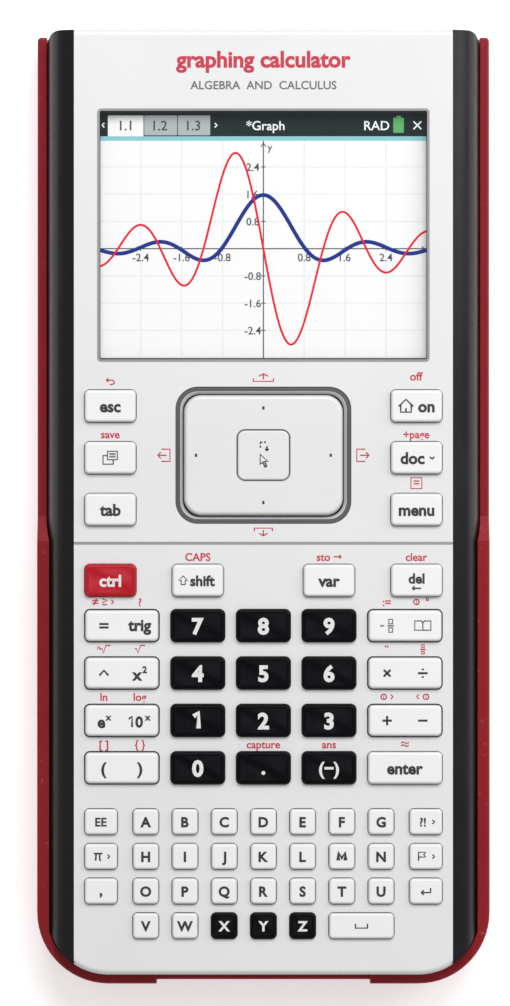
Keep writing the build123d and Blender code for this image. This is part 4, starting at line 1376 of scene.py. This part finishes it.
@dataclass
class AlphabetKeypad:
    """The four rows of small keys: one cap for each key, on its row's body."""

    key_size: float = 4.8 * MM
    pitch: float = 7.8 * MM
    end_width: float = 6.2 * MM
    ink_depth: float = 0.08 * MM
    ink_sink: float = 0.02 * MM
    dark_letters: str = "XYZ"
    masters: dict[int, bpy.types.Object] = field(default_factory=dict)

    def build(self) -> None:
        """Models the rows from the top down."""
        for row, letters in enumerate(ROW_LETTERS):
            node = f"letter_keys_row_{row + 1}"
            low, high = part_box(node)
            y = (low.y + high.y) / 2
            marks: list[tuple[Print, Vector]] = []
            for column, letter in enumerate(letters):
                x = (column - 3) * self.pitch
                dark = letter in self.dark_letters
                slot = "black_key" if dark else "white_key"
                self.key(node, f"letter_{letter.lower()}", x, y, self.key_size, slot)
                ink = Ink.WHITE if dark else Ink.DARK
                shape: Print = Word(letter, size=2.0, ink=ink, weight=0.05)
                if letter == "M":
                    shape = Sign("em", half=0.95, line=0.8, ink=ink)
                marks.append((shape, self.top_of(x, y, high.z)))
            for side, width in self.wide_keys(row):
                x = side * (high.x - LETTER_KEY.lip - width / 2)
                place = "right" if side > 0 else "left"
                self.key(node, f"wide_{place}_{row + 1}", x, y, width, "white_key")
                legend = END_LEGENDS.get((row, side), (Sign("space", half=1.2, line=0.3),))
                marks += [(mark, self.top_of(x, y, high.z)) for mark in legend]
            print_marks(f"letter_row_{row + 1}_legend", marks, f"{node}_body", self.ink_depth)
        for master in self.masters.values():
            bpy.data.objects.remove(master)

    def wide_keys(self, row: int) -> Sequence[tuple[int, float]]:
        """Side and width of the wide keys of a row."""
        if row < 3:
            return ((-1, self.end_width), (1, self.end_width))
        return ((1, self.pitch + self.key_size),)

    def top_of(self, x: float, y: float, top: float) -> Vector:
        """The middle of a key's top, where its legend is printed."""
        return Vector((x, y, top - self.ink_sink))

    def key(self, node: str, name: str, x: float, y: float, width: float, slot: str) -> None:
        """Copies the master cap of a width to a key's place.

        Args:
            node: The row's node.
            name: The key's name.
            x: Its middle across the keypad.
            y: Its middle along the keypad.
            width: Its width.
            slot: Its finish.
        """
        low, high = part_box(node)
        kind = round(width / MM * 10)
        if kind not in self.masters:
            height = high.y - low.y - 2 * LETTER_KEY.lip
            self.masters[kind] = LETTER_KEY.model(f"letter_master_{kind}", width, height, high.z, low.z)
        cap = copy_at(self.masters[kind], f"{name}_cap", Vector((x, y, 0)))
        publish(cap, f"{node}_body", WARDROBE.slot(slot), [node])


# ---- Touchpad ------------------------------------------------------------------------------------
def collar(
    name: str,
    low: Vector,
    high: Vector,
    sizes: tuple[float, float, float, float],
    body: str,
    finish: Moulding,
) -> None:
    """Models a ring with rounded corners whose inner side slopes down to what moves in it.

    Args:
        name: The piece's name.
        low: Its lowest outer corner, of which X and Y count.
        high: Its highest outer corner.
        sizes: Its corner radius, the width of its flat rim, the width of its slope and its depth.
        body: The body it rides on.
        finish: Its finish.
    """
    corner, rim, slope, depth = sizes
    inner_share = 0.8  # of the outer rectangle's area: only the two faces to be bridged are larger
    middle = Vector(((low.x + high.x) / 2, (low.y + high.y) / 2, 0))
    half = Vector(((high.x - low.x) / 2, (high.y - low.y) / 2, 0))
    inner_area = inner_share * 4 * half.x * half.y
    foot = high.z - depth
    obj = box_piece(name, Vector((-half.x, -half.y, foot)), Vector((half.x, half.y, high.z)))
    narrow = (1 - slope / (half.x - rim), 1 - slope / (half.y - rim), 1)
    with editing(obj):
        pick_edges(obj, is_upright)
        bpy.ops.mesh.bevel(offset=corner, segments=8, affect="EDGES")
        pick_faces(obj, lambda face: face.normal.z < -0.99)
        bpy.ops.mesh.inset(thickness=rim + slope)
        pick_faces(obj, lambda face: face.normal.z > 0.99)
        bpy.ops.mesh.inset(thickness=rim)
        bpy.ops.mesh.extrude_region_move(TRANSFORM_OT_translate={"value": (0, 0, -depth / 2)})
        bpy.ops.transform.resize(value=narrow, center_override=(0, 0, foot))
        pick_faces(obj, lambda face: abs(face.normal.z) > 0.99 and face.calc_area() > inner_area)
        bpy.ops.mesh.bridge_edge_loops()
    obj.data.transform(Matrix.Translation(middle))
    smooth(obj)
    publish(obj, body, WARDROBE.of(finish))


@dataclass
class TouchpadMarks:
    """What is printed on the touchpad, on its centre button and round it."""

    ink_depth: float = 0.05 * MM
    mark_x: float = 13.4
    mark_y: float = 9.4
    around_x: float = 19.8
    above: float = 15.4
    below: float = 15.2
    ring_reach: float = 1.9 * MM
    ring_sizes: tuple[float, float, float, float] = (3.5 * MM, 0.1 * MM, 0.42 * MM, 0.9 * MM)
    button_lip: float = 0.3 * MM
    button_sizes: tuple[float, float, float, float] = (1.8 * MM, 0.04 * MM, 0.12 * MM, 0.4 * MM)

    def build(self) -> None:
        """Prints the four direction marks, the pointer sign and the red signs round the pad."""
        low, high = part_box("touchpad")
        middle = Vector(((low.x + high.x) / 2, (low.y + high.y) / 2, high.z))
        marks: list[tuple[Print, Vector]] = []
        for x, y in ((-self.mark_x, 0), (self.mark_x, 0), (0, -self.mark_y), (0, self.mark_y)):
            marks.append((Sign("dot", x=x, y=y, half=1.1, line=0.65), middle))
        print_marks("touchpad_marks", marks, "pad", self.ink_depth)
        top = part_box("centre_button")[1].z
        centre = Vector((middle.x, middle.y, top))
        button = (
            Sign("pointer", x=0.1, y=-1.1, half=1.35, line=0.42),
            Sign("drag", y=1.7, half=1.0, line=0.32),
        )
        print_marks("centre_button_sign", [(mark, centre) for mark in button], "pad_button", self.ink_depth)
        face = Vector((middle.x, middle.y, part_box("upper_faceplate")[1].z))
        round_pad = (
            second_sign("page_up", y=self.above, half=1.0, stretch=2.0),
            second_sign("page_down", y=-self.below, half=1.0, stretch=1.8),
            second_sign("page_left", x=-self.around_x, y=0, half=1.35),
            second_sign("page_right", x=self.around_x, y=0, half=1.35),
        )
        print_marks("touchpad_surround", [(mark, face) for mark in round_pad], HANDHELD, self.ink_depth)
        self.ring_lip()
        self.button_collar()

    def ring_lip(self) -> None:
        """The sloping lip inside the trim ring, which leads down to the pad; its pale grey is painted shade
        at the pad's edge.
        """
        low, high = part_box("touchpad_trim_ring")
        reach = Vector((self.ring_reach, self.ring_reach, 0))
        collar("touchpad_lip", low + reach, high - reach, self.ring_sizes, HANDHELD, SHADE_COLLAR_FINISH)

    def button_collar(self) -> None:
        """The fine collar in the pad's hole, round the centre button; its pale grey is painted shade in the
        gap.
        """
        low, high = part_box("centre_button")
        trim = Vector((self.button_lip, self.button_lip, 0))
        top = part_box("touchpad")[1].z
        place = (low + trim, Vector((high.x, high.y, top)) - trim)
        collar("centre_button_collar", *place, self.button_sizes, "pad", SHADE_COLLAR_FINISH)


# ---- Display -------------------------------------------------------------------------------------
PAGE = LitLayer("lit_page", (0.93, 0.93, 0.93), 0.08)
BAR = LitLayer("lit_dark_bar", (0.017, 0.027, 0.029), 0.25)
CYAN = LitLayer("lit_cyan", (0.24, 0.52, 0.57), 0.25)
TAB = LitLayer("lit_grey_tab", (0.36, 0.39, 0.4), 0.35)
GREEN = LitLayer("lit_green", (0.1, 0.35, 0.12), 0.4)
AXIS = LitLayer("lit_axis", (0.06, 0.065, 0.08), 0.3)
BLUE = LitLayer("lit_blue", (0.012, 0.03, 0.22), 0.35)
RED = LitLayer("lit_red", (0.7, 0.01, 0.03), 0.35)
PALE = LitLayer("lit_pale_text", (0.75, 0.78, 0.79), 0.35)


@dataclass
class Display:
    """The picture on the display: tabs, axes, and two plotted curves."""

    width: float = 65.0
    height: float = 48.8
    bar_height: float = 4.6
    rule_height: float = 0.9
    layer: float = 0.018 * MM
    axis_y: float = -2.6
    grid_pitch: tuple[float, float] = (8.15, 5.43)
    label_step: float = 0.8
    tab_split: tuple[float, ...] = (-31.0, -23.9, -17.2, -10.6)
    wave_height: float = 10.7
    first_zero: float = 8.35
    slope_height: float = 19.1
    slope_peak: float = 0.4362
    samples: int = 260
    wave_line: float = 0.78
    slope_line: float = 0.42
    axis_line: float = 0.22
    tick_line: float = 0.2
    tick_half: float = 0.45
    number_size: float = 1.6
    title_size: float = 1.9
    tab_inset: float = 0.45
    corner: float = 0.12
    middle: Vector = field(default_factory=Vector)

    def build(self) -> None:
        """Lays the picture's layers on the display panel."""
        low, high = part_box("lcd_panel")
        self.middle = Vector(((low.x + high.x) / 2, (low.y + high.y) / 2, high.z))
        ruled = LitLayer(
            "lit_ruled_page",
            PAGE.colour,
            PAGE.glow,
            rules=(self.grid_pitch[0] * MM, self.grid_pitch[1] * MM, 0.5),
            origin=self.middle + Vector((0, self.axis_y * MM, 0)),
        )
        half_x, half_y = self.width / 2, self.height / 2
        bar_low = half_y - self.bar_height
        page_high = bar_low - self.rule_height
        self.patch("display_page", -half_x, half_x, -half_y, page_high, 0, ruled)
        self.patch("display_rule", -half_x, half_x, page_high, bar_low, 0, CYAN)
        self.patch("display_bar", -half_x, half_x, bar_low, half_y, 0, BAR)
        self.tabs(bar_low, half_y)
        self.axes(half_x, -half_y, page_high)
        self.curves(half_x)

    def at(self, x: float, y: float, level: int) -> Vector:
        """A point of the picture, in millimetres from its middle, on one of the layers."""
        return self.middle + Vector((x * MM, y * MM, level * self.layer))

    def patch(
        self, name: str, x0: float, x1: float, y0: float, y1: float, level: int, look: LitLayer
    ) -> bpy.types.Object:
        """Lays one flat patch of the picture.

        Args:
            name: The piece's name.
            x0: Its left edge.
            x1: Its right edge.
            y0: Its lower edge.
            y1: Its upper edge.
            level: Its layer.
            look: Its colour.

        Returns:
            The patch.
        """
        low, high = self.at(x0, y0, level), self.at(x1, y1, level + 1)
        obj = rounded_plate(name, low, high, self.corner * MM, segments=2)
        return publish(obj, HANDHELD, WARDROBE.of(look))

    def lines(self, name: str, shapes: Sequence[bpy.types.Object], look: LitLayer) -> None:
        """Joins line work of one colour into a piece."""
        publish(merged(name, shapes), HANDHELD, WARDROBE.of(look))

    def tabs(self, low: float, high: float) -> None:
        """The page tabs, the title and the status signs in the dark bar."""
        edges = self.tab_split
        top = high - self.tab_inset
        self.patch("display_open_tab", edges[0], edges[1], low, top, 1, PAGE)
        for step in (1, 2):
            left = edges[step] + 0.15
            self.patch(f"display_tab_{step + 1}", left, edges[step + 1], low + 0.2, top, 1, TAB)
        y = (low + high) / 2 - 0.1
        dark = [self.word("1.1", (edges[0] + edges[1]) / 2, y, 2)]
        dark += [self.word(f"1.{step + 1}", (edges[step] + edges[step + 1]) / 2, y, 2) for step in (1, 2)]
        self.lines("display_tab_numbers", dark, AXIS)
        pale = [
            self.word("*Graph", 0.4, y, 2, self.title_size),
            self.word("RAD", 22.6, y, 2, self.title_size),
            self.strokes("left_tick", -31.9, y, 0.55, 0.3, 2),
            self.strokes("right_tick", -9.5, y, 0.55, 0.3, 2),
            self.strokes("times", 30.7, y, 1.3, 0.32, 2),
        ]
        self.lines("display_bar_words", pale, PALE)
        self.patch("display_battery", 25.9, 28.0, low + 0.7, high - 0.9, 1, GREEN)
        self.patch("display_battery_tip", 26.5, 27.4, high - 0.9, high - 0.5, 1, GREEN)

    def word(self, text: str, x: float, y: float, level: int, size: float = 2.0) -> bpy.types.Object:
        """A word of the picture."""
        return lettering(text, self.at(x, y, level), size * MM, 0.015, self.layer)

    def strokes(
        self, name: str, x: float, y: float, half: float, line: float, level: int
    ) -> bpy.types.Object:
        """A sign of the picture."""
        return Sign(name, half=half, line=line).shape(self.at(x, y, level), self.layer)

    def line(self, points: Sequence[tuple[float, float]], width: float) -> bpy.types.Object:
        """A line through points of the picture, on its first layer."""
        return stroke([self.at(x, y, 1) for x, y in points], width * MM, self.layer)

    def axes(self, half_x: float, low: float, high: float) -> None:
        """The two axes with their ticks, arrows and numbers."""
        y = self.axis_y
        shapes = [
            self.line([(-half_x, y), (half_x, y)], self.axis_line),
            self.line([(0, low), (0, high)], self.axis_line),
            self.strokes("right_tick", half_x - 0.7, y, 0.6, self.axis_line, 1),
            self.line([(-0.5, high - 1.2), (0, high - 0.4), (0.5, high - 1.2)], self.axis_line),
        ]
        steps = [step for step in range(-3, 4) if step]
        for step in steps:
            x = step * self.grid_pitch[0]
            shapes.append(self.line([(x, y - self.tick_half), (x, y + self.tick_half)], self.tick_line))
            shapes.append(self.word(f"{step * self.label_step:.1f}", x, y - 1.7, 1, self.number_size))
        for step in steps:
            rise = y + step * self.grid_pitch[1]
            shapes.append(self.line([(-self.tick_half, rise), (self.tick_half, rise)], self.tick_line))
            shapes.append(self.word(f"{step * self.label_step:.1f}", -2.1, rise, 1, self.number_size))
        shapes.append(self.word("y", 1.3, high - 1.2, 1, 1.5))
        self.lines("display_axes", shapes, AXIS)

    def curves(self, half_x: float) -> None:
        """The wave, and its slope as a second curve."""
        wave, slope = [], []
        for step in range(self.samples + 1):
            x = half_x * (2 * step / self.samples - 1)
            turn = math.pi * x / self.first_zero
            value = math.sin(turn) / turn if turn else 1.0
            fall = (value - math.cos(turn)) / turn if turn else 0.0
            wave.append(self.at(x, self.axis_y + self.wave_height * value, 2))
            slope.append(self.at(x, self.axis_y - self.slope_height * fall / self.slope_peak, 3))
        self.lines("display_wave", [stroke(wave, self.wave_line * MM, self.layer)], BLUE)
        self.lines("display_slope", [stroke(slope, self.slope_line * MM, self.layer)], RED)


# ---- Housing -------------------------------------------------------------------------------------
@dataclass
class Housing:
    """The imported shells, boards and fittings, which keep their shapes and take their finishes."""

    header_drop: float = 5.8
    subtitle_drop: float = 11.0
    ink_depth: float = 0.04 * MM
    window_lip: float = 2.0 * MM
    frame_width: float = 0.45 * MM
    frame_corner: float = 0.8 * MM
    frame_slope: float = 0.05 * MM
    frame_depth: float = 0.12 * MM
    seam_reach: float = 0.1 * MM
    seam_depth: float = 0.5 * MM
    seam_rise: float = 0.02 * MM

    def build(self) -> None:
        """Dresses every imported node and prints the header."""
        slots = {part["node"]: part["material_slot"] for part in frame["record"]["subparts"]}
        for name, obj in frame["nodes"].items():
            obj.data.materials.clear()
            obj.data.materials.append(WARDROBE.slot(slots[name]))
            log.info("%s is finished in %s", name, slots[name])
        self.header()
        self.seam()
        self.window_frame()

    def window_frame(self) -> None:
        """Models the fine grey frame round the window."""
        low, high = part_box("display_window")
        inset = self.window_lip - self.frame_width / 2
        reach = Vector((inset, inset, 0))
        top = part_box("upper_faceplate")[1].z + self.seam_rise
        place = (low + reach, Vector((high.x, high.y, top)) - reach)
        sizes = (self.frame_corner, self.frame_width, self.frame_slope, self.frame_depth)
        collar("window_frame", *place, sizes, HANDHELD, SEAM_FINISH)

    def seam(self) -> None:
        """Fills the line between the two faceplates with a grey strip, painted shade standing for the gap's
        shadow.
        """
        lower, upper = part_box("lower_faceplate"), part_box("upper_faceplate")
        low = Vector((lower[0].x, lower[1].y - self.seam_reach, lower[1].z - self.seam_depth))
        high = Vector((lower[1].x, upper[0].y + self.seam_reach, lower[1].z + self.seam_rise))
        strip = rounded_plate("faceplate_seam", low, high, (high.y - low.y) * 0.4, self.seam_rise / 2)
        publish(strip, HANDHELD, WARDROBE.of(SEAM_FINISH))

    def header(self) -> None:
        """Prints the two plain lines above the window."""
        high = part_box("upper_faceplate")[1]
        middle = Vector((0, high.y, high.z))
        marks = (
            Word("graphing calculator", y=-self.header_drop, size=3.3, ink=Ink.RED, weight=0.045),
            Word("ALGEBRA  AND  CALCULUS", y=-self.subtitle_drop, size=1.7, ink=Ink.GREY, weight=0.02),
        )
        print_marks("header", [(mark, middle) for mark in marks], HANDHELD, self.ink_depth)


# ---- Studio --------------------------------------------------------------------------------------
@dataclass(frozen=True)
class Softbox:
    """One large soft light."""

    name: str
    place: tuple[float, float, float]
    aim: tuple[float, float, float]
    size: tuple[float, float]
    power: float
    colour: Colour = (1.0, 1.0, 1.0)

    def hang(self) -> None:
        """Hangs the light and turns it to its aim."""
        select_nothing()
        bpy.ops.object.light_add(type="AREA", location=self.place)
        lamp = bpy.context.active_object
        lamp.name = self.name
        lamp.data.shape = "RECTANGLE"
        lamp.data.size, lamp.data.size_y = self.size
        lamp.data.energy = self.power
        lamp.data.color = self.colour
        lamp.rotation_euler = (Vector(self.aim) - Vector(self.place)).to_track_quat("-Z", "Y").to_euler()


@dataclass
class Studio:
    """The plain pale floor, the soft lights and the camera."""

    floor_size: float = 4.0
    floor_roll: float = 0.02
    floor_thickness: float = 0.02
    floor_lift: float = 0.45
    camera_distance: float = 1.2
    view_height: float = 0.2
    sensor: float = 36.0
    aim_offset: Point = (-0.00167, 0.0009)
    world_light: float = 0.45

    def build(self) -> None:
        """Sets up the floor, the world, the lights and the camera."""
        self.camera()
        self.floor()
        self.world()
        Softbox("key_softbox", (0.1, 0.6, 0.7), (0, 0.02, 0), (0.7, 0.4), 5.4).hang()
        Softbox("side_softbox", (0.6, 0.25, 0.35), (0, 0.03, 0), (0.3, 0.5), 1.3).hang()
        bpy.context.scene.view_settings.view_transform = "Standard"

    def camera(self) -> None:
        """Puts the camera straight above the face, far away behind a long lens."""
        select_nothing()
        face = CAD_BOX[1].z
        place = (self.aim_offset[0], self.aim_offset[1], face + self.camera_distance)
        bpy.ops.object.camera_add(location=place, rotation=(0, 0, 0))
        camera = bpy.context.active_object
        camera.data.sensor_width = self.sensor
        camera.data.lens = self.sensor * self.camera_distance / self.view_height
        camera.data.clip_end = 10
        bpy.context.scene.camera = camera

    def floor(self) -> None:
        """A large pale sheet with a softly turned-down rim."""
        half = self.floor_size / 2
        low, high = Vector((-half, -half, -self.floor_thickness)), Vector((half, half, 0))
        obj = rounded_plate("studio_floor", low, high, half / 4, self.floor_roll / 4)
        look = Moulding(
            "pale_floor", (0.93, 0.93, 0.93), (0.92, 0.92, 0.92), (0.8, 0.85), grain_height=0.0, dust=0.0
        ).material()
        shader = look.node_tree.nodes["Principled BSDF"]
        shader.inputs["Emission Color"].default_value = (1, 1, 1, 1)
        shader.inputs["Emission Strength"].default_value = self.floor_lift
        obj.data.materials.append(look)

    def world(self) -> None:
        """Even light from all round."""
        world = bpy.data.worlds.new("studio_air")
        bpy.context.scene.world = world
        world.use_nodes = True
        background = world.node_tree.nodes["Background"]
        background.inputs["Color"].default_value = (1, 1, 1, 1)
        background.inputs["Strength"].default_value = self.world_light


def main() -> None:
    """Builds the calculator's looks in order."""
    logging.basicConfig(level=logging.INFO, format="%(name)s: %(message)s")
    select_nothing()
    Studio().build()
    for part in (Housing(), Display(), TouchpadMarks(), Keypad(), AlphabetKeypad()):
        part.build()
        log.info("%s is built", type(part).__name__)


if __name__ == "__main__":
    main()
